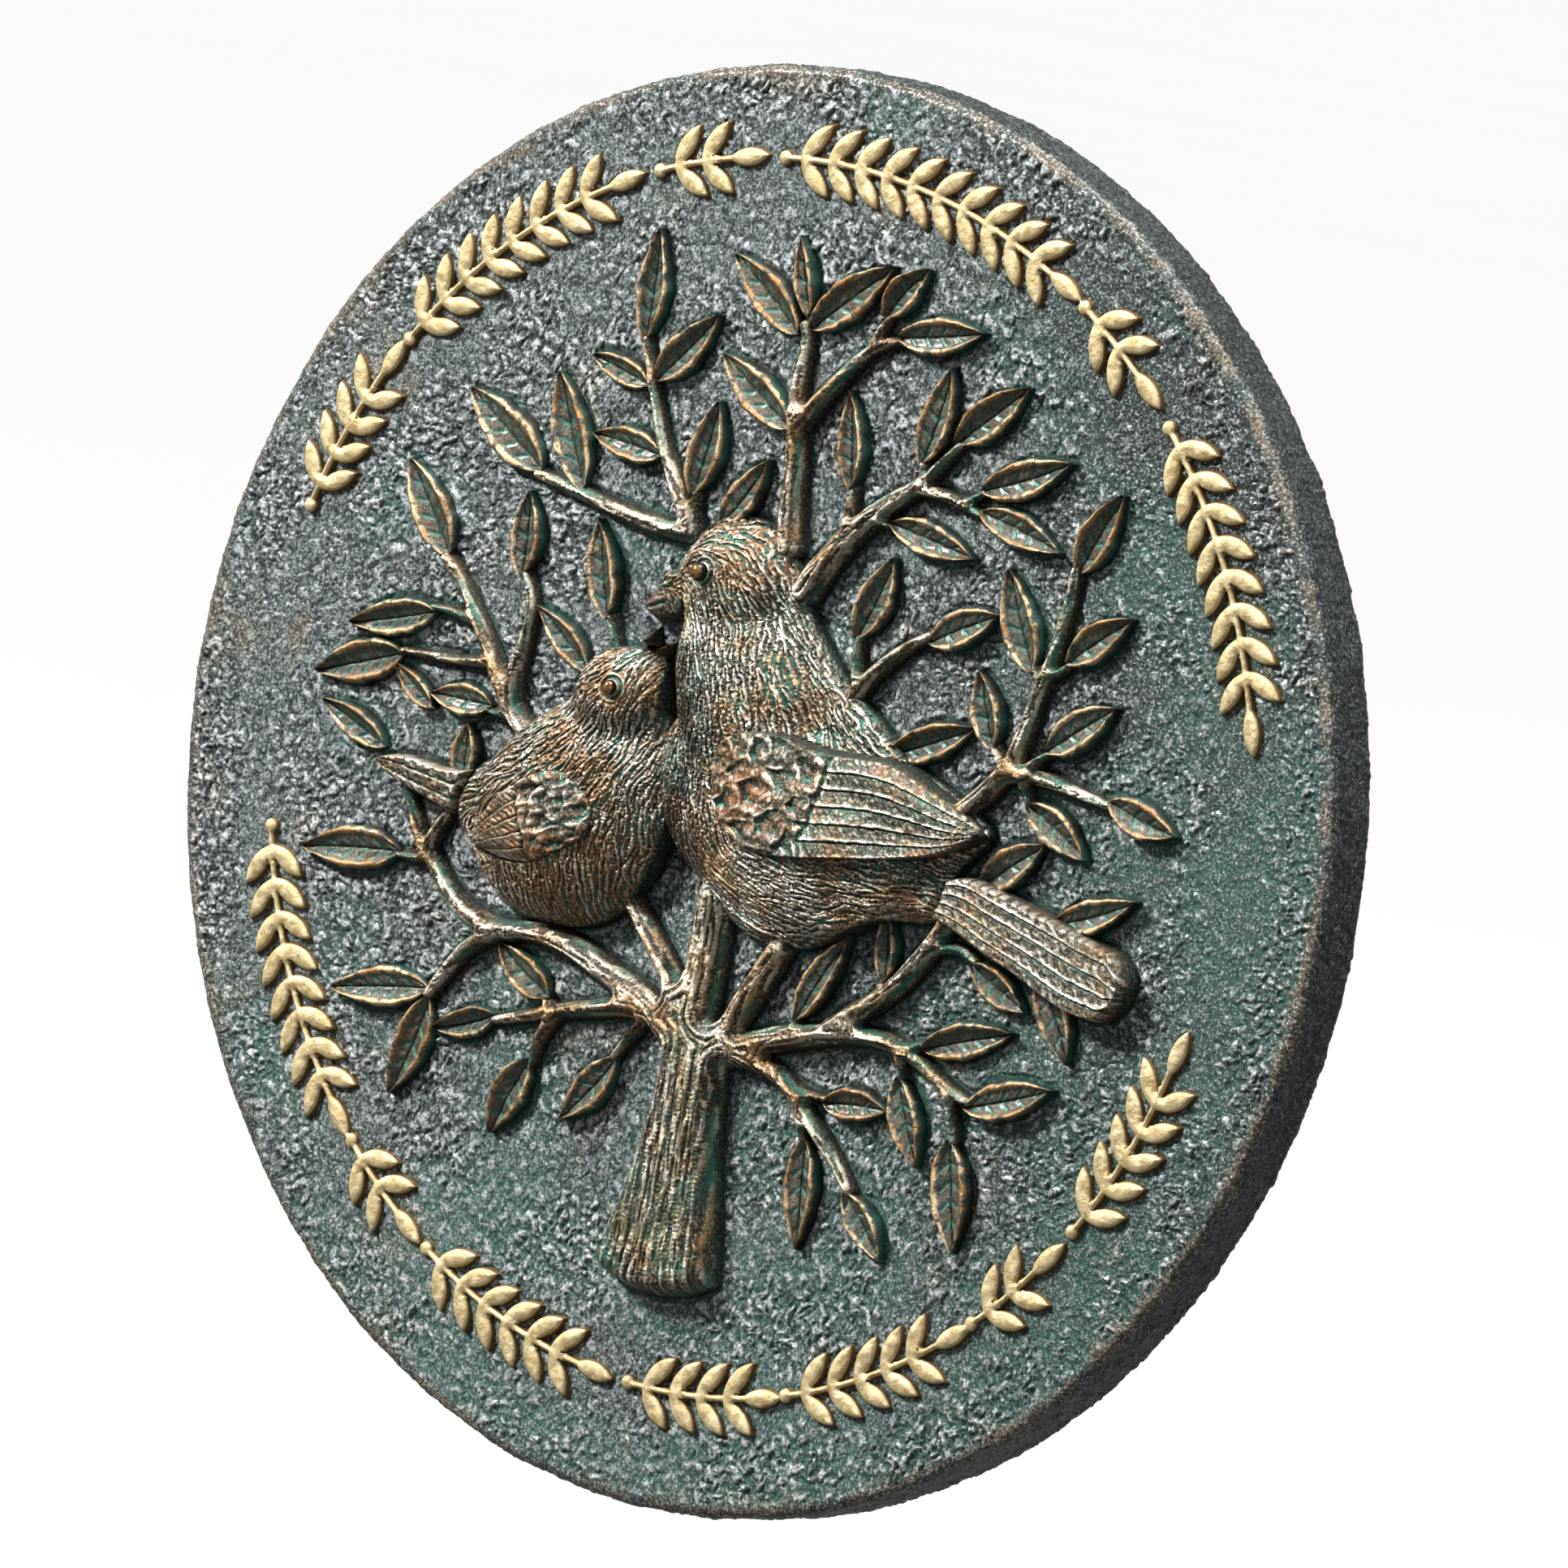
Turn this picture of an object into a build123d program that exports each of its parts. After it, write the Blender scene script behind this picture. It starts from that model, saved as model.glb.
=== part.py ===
# Round wall plaque: a cast disc with a tree, leaves, two songbirds and gilt laurel borders in relief.
# Row frame: X to the viewer's right, Y into the wall, Z up. The origin is the centre of the disc's
# back face, on the wall plane, and the decorated face looks along -Y. Lengths are in millimetres.
from build123d import *
from math import cos, hypot, radians, sin
import os

os.makedirs("parts", exist_ok=True)

# Disc
DISC_DIAMETER = 254.0
DISC_THICKNESS = 12.0
FRONT_ROUND = 1.8
BACK_CHAMFER = 0.8

# Back hardware
HANGER_HEIGHT = 84.0
HANGER_LENGTH = 36.0
HANGER_WIDTH = 20.0
HANGER_THICKNESS = 1.5
HANGER_CLEARANCE = 0.25
KEYHOLE_RADIUS = 4.5
KEYHOLE_SLOT_WIDTH = 4.2
KEYHOLE_SLOT_RISE = 8.0
POCKET_WIDTH = 11.0
POCKET_LENGTH = 17.4
POCKET_DEPTH = 5.0
SCREW_SPACING = 28.0
SCREW_HOLE_RADIUS = 1.6
SCREW_HEAD_RADIUS = 2.9
SCREW_SHANK_RADIUS = 1.4
SCREW_LENGTH = 7.0
SCREW_DRIVE_WIDTH = 0.8

# Relief heights above the ground of the decorated face
LEAF_HEIGHT = 2.2
TWIG_HEIGHT = 2.9
STUB_HEIGHT = 3.6
TRUNK_HEIGHT = 4.5
GILT_HEIGHT = 1.1
BIRD_SLAB = 4.0
TAIL_HEIGHT = 4.6
BEAK_HEIGHT = 6.2

# Slopes of the relief's sides
LEAF_CROWN = 0.72
TWIG_CROWN = 0.5
TRUNK_CROWN_INSET = 1.4

# Derived planes: the ground of the decorated face, and the back that lies against the wall
DISC_RADIUS = DISC_DIAMETER / 2
FACE = Plane(origin=(0, -DISC_THICKNESS, 0), x_dir=(1, 0, 0), z_dir=(0, -1, 0))
BACK = Plane(origin=(0, 0, 0), x_dir=(-1, 0, 0), z_dir=(0, 1, 0))

# Wood: each twig is a centre line (x, z), its width where it starts and its width where it ends
TRUNK_LEFT = [(-7.2, -42.5), (-6.8, -50), (-7.8, -60), (-9.8, -70), (-12.8, -80), (-15.0, -86)]
TRUNK_RIGHT = [(12.4, -86), (11.6, -80), (9.8, -70), (8.2, -60), (7.4, -50), (7.6, -42.5)]
TRUNK_BASE = (-1.3, -90.0)
TRUNK_TOP = (0.2, -40.5)
BROKEN_BOUGHS = [
    ([(-4.0, -41.0), (-9.0, -33.6), (-14.5, -27.6), (-19.0, -23.2)], 5.2, 4.2),
    ([(-0.8, -45.0), (-1.0, -32.0), (-0.8, -19.0)], 9.0, 8.4),
    ([(3.6, -47.0), (7.0, -40.0), (11.0, -32.5), (15.0, -25.5)], 6.2, 5.4),
]
BOUGHS = {
    "bough_upper_left": [
        ([(-18.8, 42.4), (-31.7, 43.0), (-41.7, 44.7), (-54.5, 47.0)], 4.2, 2.6),
        (
            [(-19.7, 43.0), (-23.7, 50.0), (-28.0, 56.0), (-31.0, 62.7), (-33.2, 68.0), (-35.5, 74.0)],
            4.0,
            2.0,
        ),
        ([(-18.4, 42.8), (-19.2, 46.0), (-19.2, 49.2)], 3.2, 2.2),
    ],
    "bough_left": [
        ([(-46.0, 0.6), (-53.7, 6.7), (-58.5, 13.3), (-63.7, 20.0), (-68.0, 25.0), (-72.5, 29.0)], 4.8, 2.6),
        ([(-52.6, 6.2), (-52.3, 16.7), (-51.8, 23.3), (-54.2, 29.2)], 4.0, 2.2),
        ([(-59.0, 12.6), (-67.7, 11.7), (-79.0, 11.3)], 2.8, 1.8),
        ([(-64.2, 19.2), (-68.5, 19.9), (-73.5, 20.0)], 2.6, 1.8),
        ([(-50.6, 4.2), (-54.0, 4.0), (-57.4, 4.3)], 2.4, 1.8),
    ],
    "twig_by_beak": [
        ([(-31.2, 19.0), (-32.6, 22.2), (-33.8, 25.0)], 2.6, 2.0),
    ],
    "bough_upper_centre": [
        (
            [(3.2, 43.5), (1.8, 53.3), (1.2, 60.2), (-0.2, 66.4), (-0.6, 72.0), (-0.3, 77.4), (-1.2, 82.0)],
            5.6,
            2.6,
        ),
        ([(1.0, 64.8), (6.4, 71.9), (10.5, 76.7), (14.7, 80.5), (19.8, 82.4)], 4.2, 2.2),
        ([(14.4, 80.4), (15.2, 83.4), (16.6, 86.0)], 2.6, 1.8),
    ],
    "bough_upper_right": [
        ([(8.0, 36.5), (14.0, 45.5), (18.1, 50.0), (23.6, 54.7), (30.5, 59.8)], 6.6, 3.4),
        ([(30.0, 59.0), (32.3, 62.2), (36.2, 66.8)], 3.0, 2.0),
        ([(29.6, 58.6), (29.6, 60.6), (29.3, 62.4)], 2.6, 2.0),
        ([(29.3, 58.2), (37.4, 57.3), (43.2, 55.8)], 3.2, 2.0),
        ([(38.0, 57.2), (40.5, 58.2), (43.0, 59.6)], 2.2, 1.8),
        ([(14.6, 47.6), (14.9, 51.2), (14.7, 55.8)], 2.8, 1.8),
        ([(18.0, 50.2), (21.0, 50.8), (24.4, 50.8)], 2.6, 1.8),
    ],
    "twig_behind_wing": [
        ([(21.6, 20.0), (27.8, 27.3), (31.9, 30.8), (36.2, 33.4)], 4.0, 2.4),
        ([(22.8, 22.0), (21.6, 26.0), (21.3, 30.4)], 2.8, 2.0),
    ],
    "bough_right": [
        (
            [(47.4, 3.0), (54.7, 10.5), (58.3, 15.5), (60.9, 25.7), (62.6, 31.9), (64.0, 38.1), (65.0, 49.8)],
            4.8,
            2.4,
        ),
        ([(57.0, 12.8), (66.4, 13.4), (73.3, 12.4), (80.2, 11.4)], 4.0, 2.2),
        ([(60.5, 13.6), (63.0, 15.8), (65.6, 17.8)], 2.8, 2.0),
        ([(62.2, 31.0), (64.5, 31.8), (67.0, 33.6)], 2.6, 1.8),
        ([(62.0, 29.2), (60.8, 30.3), (59.7, 31.8)], 2.2, 1.6),
        ([(57.5, 13.5), (55.8, 14.8), (54.0, 17.0)], 2.6, 1.8),
        ([(60.4, 13.2), (61.8, 11.3), (63.4, 9.0)], 2.6, 1.8),
    ],
    "bough_lower_right": [
        (
            [(2.0, -47.4), (14.0, -42.0), (22.2, -39.4), (29.1, -37.9), (44.3, -37.6), (51.2, -40.5),
             (59.8, -44.0)],
            6.2,
            2.4,
        ),
        (
            [(27.6, -37.8), (33.3, -33.2), (38.1, -29.8), (42.2, -25.7), (46.4, -20.3), (50.4, -14.0)],
            4.6,
            4.4,
        ),
        ([(45.6, -20.8), (50.0, -18.8), (53.3, -18.7), (57.2, -20.0)], 3.0, 2.0),
        ([(43.2, -37.7), (46.0, -37.0), (48.8, -36.0)], 3.0, 2.0),
        ([(43.6, -37.8), (44.6, -40.0), (45.3, -42.4)], 2.6, 1.8),
        ([(53.8, -41.6), (56.9, -46.5), (58.4, -51.2)], 3.0, 2.0),
        ([(6.0, -46.0), (16.0, -46.3), (21.6, -48.6), (26.4, -52.8), (31.9, -57.6), (37.8, -63.8)], 4.6, 2.6),
        ([(20.6, -48.2), (25.0, -49.0), (29.8, -49.1)], 2.6, 1.8),
        ([(23.2, -50.2), (24.8, -53.5), (26.1, -56.8)], 2.6, 1.8),
        ([(18.8, -40.6), (20.0, -38.8), (20.9, -37.2)], 2.4, 1.8),
        ([(36.9, -30.9), (37.6, -28.9), (37.8, -27.0)], 2.4, 1.8),
    ],
    "bough_lower_left": [
        (
            [(-2.0, -46.0), (-10.0, -41.2), (-20.3, -37.0), (-29.7, -33.6), (-38.3, -32.3), (-47.7, -33.9),
             (-53.7, -37.5), (-58.3, -43.0), (-61.0, -47.2)],
            7.0,
            2.8,
        ),
        (
            [(-44.5, -33.0), (-54.0, -32.0), (-59.7, -29.0), (-63.7, -25.0), (-67.2, -21.5), (-72.6, -13.2)],
            4.8,
            2.8,
        ),
        ([(-66.6, -22.6), (-65.2, -19.0), (-63.0, -15.2)], 3.2, 2.6),
        (
            [(-8.0, -42.6), (-15.5, -41.3), (-23.7, -43.0), (-31.7, -45.0), (-38.3, -47.0), (-45.2, -49.0)],
            5.0,
            2.2,
        ),
        ([(-31.2, -44.8), (-34.0, -49.0), (-35.9, -55.0)], 3.0, 2.0),
        ([(-31.2, -44.9), (-33.0, -44.4), (-34.8, -43.4)], 2.4, 1.8),
        ([(-12.2, -42.6), (-15.0, -46.5), (-17.8, -50.4)], 3.0, 2.0),
        ([(-66.2, -23.6), (-69.0, -24.2), (-72.4, -24.3)], 2.4, 1.8),
    ],
}

# Leaves: (x, z) where the blade leaves its twig, (x, z) of its tip, and its width
LEAVES = {
    "leaves_upper_left": [
        ((-35.7, 74.8), (-36.0, 93.5), 6.6),
        ((-31.6, 68.0), (-20.4, 80.6), 7.2),
        ((-34.0, 66.6), (-46.6, 70.0), 5.4),
        ((-28.9, 54.8), (-43.6, 56.2), 6.4),
        ((-44.8, 46.6), (-53.2, 65.4), 7.8),
        ((-54.6, 47.2), (-72.4, 59.8), 8.8),
        ((-19.3, 49.2), (-17.2, 65.8), 7.4),
    ],
    "leaves_left": [
        ((-72.6, 29.2), (-83.8, 44.8), 7.8),
        ((-54.3, 29.2), (-56.0, 43.6), 7.0),
        ((-33.9, 24.8), (-39.2, 41.4), 7.4),
        ((-37.2, 15.2), (-50.0, 24.0), 6.0),
        ((-73.2, 20.0), (-91.8, 14.2), 6.8),
        ((-79.2, 11.2), (-97.8, 4.6), 8.0),
        ((-57.4, 4.4), (-70.8, 5.4), 6.2),
        ((-70.6, 3.0), (-79.8, 8.6), 4.8),
        ((-80.2, -5.8), (-95.2, -0.2), 6.0),
        ((-61.3, -8.6), (-61.8, 1.2), 6.6),
    ],
    "leaves_upper_centre": [
        ((-3.2, 80.8), (-18.6, 92.0), 7.6),
        ((-0.9, 64.6), (-17.8, 74.2), 7.6),
        ((-0.9, 84.2), (-4.9, 97.0), 4.8),
        ((0.8, 82.2), (16.0, 94.8), 7.8),
        ((16.6, 86.2), (23.4, 95.8), 6.6),
        ((20.0, 82.6), (37.6, 86.6), 7.0),
        ((-12.6, 45.4), (-4.6, 57.6), 7.0),
    ],
    "leaves_upper_right": [
        ((29.3, 62.4), (32.2, 79.6), 7.4),
        ((36.2, 67.0), (48.8, 79.0), 7.4),
        ((43.2, 59.8), (60.6, 67.6), 7.2),
        ((43.4, 55.8), (61.0, 52.2), 6.2),
        ((24.6, 50.8), (42.8, 48.0), 6.4),
        ((14.6, 56.0), (11.0, 72.0), 6.0),
        ((21.3, 30.6), (26.2, 45.2), 7.4),
        ((36.4, 33.4), (50.4, 39.4), 7.2),
    ],
    "leaves_right": [
        ((59.6, 31.8), (51.4, 47.6), 7.4),
        ((65.2, 50.0), (72.8, 63.8), 7.2),
        ((67.2, 33.8), (78.6, 43.6), 7.0),
        ((65.8, 18.0), (78.4, 28.0), 7.6),
        ((80.4, 11.4), (95.0, 8.6), 6.6),
        ((53.9, 17.2), (48.2, 29.4), 7.0),
        ((63.5, 8.8), (76.9, 1.4), 7.0),
        ((33.0, 12.4), (49.0, 19.4), 7.0),
    ],
    "leaves_lower_right": [
        ((56.2, -6.6), (68.0, 3.4), 7.2),
        ((73.0, -10.4), (89.0, -4.0), 6.4),
        ((57.2, -20.2), (69.4, -26.4), 6.6),
        ((71.6, -20.6), (79.8, -33.6), 7.2),
        ((48.8, -36.0), (67.4, -30.6), 6.6),
        ((60.0, -44.2), (77.6, -38.6), 7.2),
        ((45.3, -42.4), (51.4, -57.2), 7.0),
        ((58.4, -51.2), (62.0, -70.0), 8.0),
        ((37.9, -64.2), (46.8, -74.4), 6.6),
        ((26.2, -57.0), (28.2, -75.8), 7.0),
        ((30.0, -49.2), (43.4, -48.9), 6.4),
        ((20.9, -37.0), (29.4, -20.4), 6.6),
        ((37.8, -26.8), (36.8, -14.6), 5.4),
    ],
    "leaves_lower_left": [
        ((-72.6, -24.3), (-94.6, -26.8), 8.0),
        ((-62.0, -46.6), (-83.2, -50.2), 7.6),
        ((-61.0, -48.6), (-66.2, -66.0), 7.6),
        ((-45.4, -49.0), (-58.6, -53.0), 5.8),
        ((-36.0, -55.2), (-42.6, -68.6), 7.2),
        ((-17.9, -50.6), (-27.2, -63.4), 7.2),
        ((-34.8, -43.2), (-46.6, -35.6), 6.6),
    ],
}

# Birds: outlines (x, z), in order round each piece
LARGE_BODY = [
    (-20.0, 33.4), (-19.6, 37.2), (-15.9, 43.2), (-10.6, 46.8), (-4.6, 47.4), (3.0, 44.0), (9.0, 35.4),
    (15.0, 28.0), (20.2, 23.2), (29.8, 16.6), (36.0, 12.0), (44.6, 8.8), (52.4, 5.2), (56.6, 2.0),
    (53.8, -2.2), (50.6, -6.6), (48.4, -14.2), (39.5, -16.1), (33.3, -18.5), (27.5, -21.6), (21.0, -24.4),
    (15.0, -25.2), (8.0, -24.3), (2.2, -21.7), (-3.5, -17.9), (-7.2, -13.8), (-10.0, -8.6), (-12.0, -2.0),
    (-13.4, 4.0), (-14.4, 12.0), (-14.2, 20.0), (-15.6, 25.4), (-17.3, 26.9),
]
LARGE_WING = [
    (2.0, 3.0), (3.8, 9.6), (10.0, 11.8), (18.6, 11.0), (25.7, 10.5), (34.1, 10.9), (43.7, 8.2), (51.6, 4.9),
    (55.6, 2.0), (52.4, -1.2), (45.0, -4.2), (37.0, -6.0), (29.4, -7.3), (21.2, -8.6), (13.0, -8.8),
    (6.7, -6.4), (3.2, -2.2),
]
LARGE_TAIL_TOP = [(50.6, -6.6), (54.0, -5.5), (60.9, -6.5), (74.7, -9.6), (87.6, -12.6)]
LARGE_TAIL_END = [(87.6, -12.6), (91.2, -18.4), (86.4, -25.4)]
LARGE_TAIL_UNDER = [(86.4, -25.4), (74.7, -23.2), (67.8, -20.5), (60.9, -18.3), (54.0, -15.7), (48.4, -14.2)]
LARGE_BEAK_TOP = [(-20.0, 33.4), (-22.9, 30.8), (-25.6, 28.0)]
LARGE_BEAK_UNDER = [(-25.6, 28.0), (-23.6, 26.6), (-17.3, 26.9)]
LARGE_EYE = (-8.7, 36.8, 10.2)
LARGE_EYE_RADIUS = 1.7
SMALL_BODY = [
    (-36.9, 14.0), (-34.6, 17.8), (-30.0, 20.2), (-25.4, 21.2), (-19.6, 19.6), (-18.4, 16.0), (-17.0, 10.5),
    (-14.6, 4.0), (-12.6, -0.7), (-11.8, -7.5), (-13.0, -12.5), (-15.2, -18.0), (-19.0, -23.6),
    (-24.5, -28.0), (-31.0, -30.0), (-39.0, -30.2), (-46.0, -29.0), (-51.7, -25.0), (-56.0, -20.0),
    (-60.6, -15.2), (-58.0, -6.3), (-53.0, -2.3), (-48.8, 1.2), (-44.2, 5.0), (-40.0, 9.4),
]
SMALL_WING = [
    (-52.4, -19.2), (-43.6, -20.4), (-35.6, -19.2), (-29.2, -15.6), (-24.6, -11.8), (-24.8, -8.0),
    (-28.7, -4.2), (-34.1, -2.6), (-39.5, -4.7), (-45.6, -9.4), (-50.4, -14.8),
]
SMALL_TAIL_TOP = [(-80.2, -8.2), (-73.7, -6.4), (-65.0, -6.9), (-58.0, -6.3)]
SMALL_TAIL_UNDER = [(-60.6, -15.2), (-68.3, -13.1), (-75.0, -11.2), (-80.2, -8.2)]
SMALL_BEAK_UPPER = [(-25.4, 21.2), (-23.0, 25.2), (-21.6, 21.4)]
SMALL_BEAK_LOWER = [(-21.6, 21.4), (-18.2, 23.4), (-19.6, 19.6)]
SMALL_EYE = (-25.7, 13.5, 8.4)
SMALL_EYE_RADIUS = 1.4

# Bird domes: centre (x, z), semi-axes along, across and out of the face, and turn in degrees
LARGE_DOMES = [
    ((-6.6, 34.6), (11.0, 9.6, 10.2), -20),
    ((2.0, 13.0), (23.5, 14.2, 11.6), -58),
    ((14.0, -3.0), (30.0, 14.6, 11.4), -14),
]
SMALL_DOMES = [
    ((-27.4, 11.4), (8.8, 8.0, 8.6), 20),
    ((-33.0, -9.0), (19.8, 17.0, 9.4), 25),
]
DOME_LIMIT = 16.0
LARGE_WING_SLOPE = ((2.0, 12.4), (56.0, 5.4))
SMALL_WING_SLOPE = ((-24.0, 10.0), (-53.0, 5.6))

# Gilt laurel borders: sprays of leaf pairs along two arcs, in degrees from +X towards +Z
UPPER_STEM_RADIUS = 110.6
LOWER_STEM_RADIUS = 106.0
UPPER_SPRAYS = [(162, 148), (143, 115.5), (110, 101), (95.5, 63.5), (58, 49), (43.5, 16)]
LOWER_SPRAYS = [
    (194, 221), (226.5, 235.5), (240.5, 263), (268.5, 282), (287.5, 305.5), (310.5, 319.5), (325, 343),
]
GILT_STEM_WIDTH = 1.5
GILT_LEAF_LENGTH = 9.4
GILT_LEAF_WIDTH = 3.7
GILT_LEAF_PITCH = 6.0
GILT_LEAF_TILT = 44
GILT_END_MARGIN = 0.5
GILT_BERRY_RADIUS = 1.5


def face_point(point, height=0.0):
    """Row position of an (x, z) point that stands a height above the ground of the face."""
    return FACE.offset(height).from_local_coords((point[0], point[1], 0))


def side_points(points, start_width, end_width, side):
    """Points half a width to one side of a centre line whose width tapers evenly."""
    steps = [0.0]
    for before, after in zip(points, points[1:]):
        steps.append(steps[-1] + hypot(after[0] - before[0], after[1] - before[1]))
    found = []
    for index, point in enumerate(points):
        before = points[max(index - 1, 0)]
        after = points[min(index + 1, len(points) - 1)]
        run = hypot(after[0] - before[0], after[1] - before[1])
        half = (start_width + (end_width - start_width) * steps[index] / steps[-1]) / 2
        across = (-(after[1] - before[1]) / run, (after[0] - before[0]) / run)
        found.append((point[0] + side * half * across[0], point[1] + side * half * across[1]))
    return found


def beyond(points, distance):
    """The point a distance past the end of a centre line, along its last run."""
    (x0, z0), (x1, z1) = points[-2:]
    run = hypot(x1 - x0, z1 - z0)
    return (x1 + (x1 - x0) / run * distance, z1 + (z1 - z0) / run * distance)


def twig_outline(height, points, start_width, end_width):
    """Outline of a twig on a plane that stands a height above the ground."""
    left = side_points(points, start_width, end_width, 1)
    right = side_points(points, start_width, end_width, -1)
    with BuildSketch(FACE.offset(height)) as outline:
        with BuildLine():
            Spline(left)
            ThreePointArc(left[-1], beyond(points, end_width / 2), right[-1])
            Spline(right[::-1])
            ThreePointArc(right[0], beyond(points[::-1], start_width / 2), left[0])
        make_face()
    return outline.sketch


def twigs(branches, height):
    """Tapering half-round twigs, joined where they fork."""
    for points, start_width, end_width in branches:
        foot = twig_outline(0, points, start_width, end_width)
        crown = twig_outline(height, points, start_width * TWIG_CROWN, end_width * TWIG_CROWN)
        loft([foot, crown])


def leaf_outline(plane, length, width):
    """A pointed oval, widest nearer the stalk, which is at the plane's origin."""
    shares = [(0, 0), (0.15, 0.31), (0.42, 0.5), (0.76, 0.3), (1, 0)]
    with BuildSketch(plane) as outline:
        with BuildLine():
            for side in (1, -1):
                Spline([(along * length, side * across * width) for along, across in shares])
        make_face()
    return outline.sketch


def leaf(base, tip, width):
    """One raised leaf with sloping sides."""
    length = hypot(tip[0] - base[0], tip[1] - base[1])
    direction = ((tip[0] - base[0]) / length, 0, (tip[1] - base[1]) / length)
    foot = Plane(origin=face_point(base), x_dir=direction, z_dir=FACE.z_dir)
    inset = length * (1 - LEAF_CROWN) / 2
    crown_start = (base[0] + direction[0] * inset, base[1] + direction[2] * inset)
    crown = Plane(origin=face_point(crown_start, LEAF_HEIGHT), x_dir=direction, z_dir=FACE.z_dir)
    loft([leaf_outline(foot, length, width), leaf_outline(crown, length * LEAF_CROWN, width * LEAF_CROWN)])


def dome(centre, semi_axes, turn):
    """An ellipsoid that is centred on the ground of the face."""
    place = Plane(origin=face_point(centre), x_dir=FACE.x_dir, z_dir=FACE.z_dir)
    return place * Rot(0, 0, turn) * scale(Sphere(1), by=semi_axes)


def prism(points, start, top):
    """A closed smooth outline, extruded from one height above the ground to another."""
    with BuildPart() as block:
        with BuildSketch(FACE.offset(start)):
            with BuildLine():
                Spline(points, periodic=True)
            make_face()
        extrude(amount=top - start)
    return block.part


def below_slope(solid, slope, slope_direction):
    """The part of a solid that is under a plane which falls along a direction of the face."""
    (x0, h0), (x1, h1) = slope
    fall = Vector(FACE.x_dir) * (x1 - x0) + Vector(FACE.z_dir) * (h1 - h0)
    across = Vector(slope_direction[0], 0, slope_direction[1])
    normal = fall.cross(across).normalized()
    if normal.dot(Vector(FACE.z_dir)) < 0:
        normal = normal * -1
    plane = Plane(origin=face_point((x0, 0), h0), z_dir=normal)
    return split(solid, bisect_by=plane, keep=Keep.BOTTOM)


def finish(piece, label):
    """Labels a finished piece and writes its file."""
    piece.part.label = label
    export_step(piece.part, f"parts/{label}.step")
    return piece.part


# ---- Disc, with the hanger's recess, the screw-head pocket behind its keyhole and two screw pilots
with BuildPart() as plaque_disc:
    with BuildSketch(BACK):
        Circle(DISC_RADIUS)
    extrude(amount=-DISC_THICKNESS)
    fillet(plaque_disc.edges().group_by(Axis.Y)[0], FRONT_ROUND)
    chamfer(plaque_disc.edges().group_by(Axis.Y)[-1], BACK_CHAMFER)
    with BuildSketch(BACK):
        with Locations((0, HANGER_HEIGHT)):
            SlotOverall(HANGER_LENGTH + 2 * HANGER_CLEARANCE, HANGER_WIDTH + 2 * HANGER_CLEARANCE)
    extrude(amount=-HANGER_THICKNESS, mode=Mode.SUBTRACT)
    with BuildSketch(BACK.offset(-HANGER_THICKNESS)):
        with Locations((0, HANGER_HEIGHT)):
            SlotOverall(POCKET_LENGTH, POCKET_WIDTH, rotation=90)
    extrude(amount=-POCKET_DEPTH, mode=Mode.SUBTRACT)
    with BuildSketch(BACK.offset(-HANGER_THICKNESS)):
        with Locations((0, HANGER_HEIGHT)), GridLocations(SCREW_SPACING, 0, 2, 1):
            Circle(SCREW_SHANK_RADIUS)
    extrude(amount=-SCREW_LENGTH, mode=Mode.SUBTRACT)
finish(plaque_disc, "plaque_disc")

# ---- Keyhole hanger: a round entry with a narrow slot above it, held by two countersunk screws
KEYHOLE_CENTRE = HANGER_HEIGHT - KEYHOLE_SLOT_RISE / 2
with BuildPart() as keyhole_hanger:
    with BuildSketch(BACK):
        with Locations((0, HANGER_HEIGHT)):
            SlotOverall(HANGER_LENGTH, HANGER_WIDTH)
        with Locations((0, KEYHOLE_CENTRE)):
            Circle(KEYHOLE_RADIUS, mode=Mode.SUBTRACT)
        with Locations((0, KEYHOLE_CENTRE + KEYHOLE_SLOT_RISE / 2)):
            SlotCenterToCenter(KEYHOLE_SLOT_RISE, KEYHOLE_SLOT_WIDTH, rotation=90, mode=Mode.SUBTRACT)
    extrude(amount=-HANGER_THICKNESS)
    with Locations(BACK):
        with Locations((0, HANGER_HEIGHT)), GridLocations(SCREW_SPACING, 0, 2, 1):
            CounterSinkHole(SCREW_HOLE_RADIUS, SCREW_HEAD_RADIUS, HANGER_THICKNESS, 90)
finish(keyhole_hanger, "keyhole_hanger")

# ---- Hanger screws: countersunk heads flush with the plate, each with a cross recess
with BuildPart() as hanger_screws:
    for side in (-1, 1):
        centre = (side * SCREW_SPACING / 2, HANGER_HEIGHT)
        with BuildSketch(BACK):
            with Locations(centre):
                Circle(SCREW_HEAD_RADIUS)
        with BuildSketch(BACK.offset(-(SCREW_HEAD_RADIUS - SCREW_SHANK_RADIUS))):
            with Locations(centre):
                Circle(SCREW_SHANK_RADIUS)
        loft()
        with BuildSketch(BACK):
            with Locations(centre):
                Circle(SCREW_SHANK_RADIUS)
        extrude(amount=-(HANGER_THICKNESS + SCREW_LENGTH))
        with BuildSketch(BACK):
            with Locations(centre):
                for turn in (0, 90):
                    Rectangle(2 * SCREW_SHANK_RADIUS, SCREW_DRIVE_WIDTH, rotation=turn)
        extrude(amount=-SCREW_DRIVE_WIDTH, mode=Mode.SUBTRACT)
finish(hanger_screws, "hanger_screws")

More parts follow.
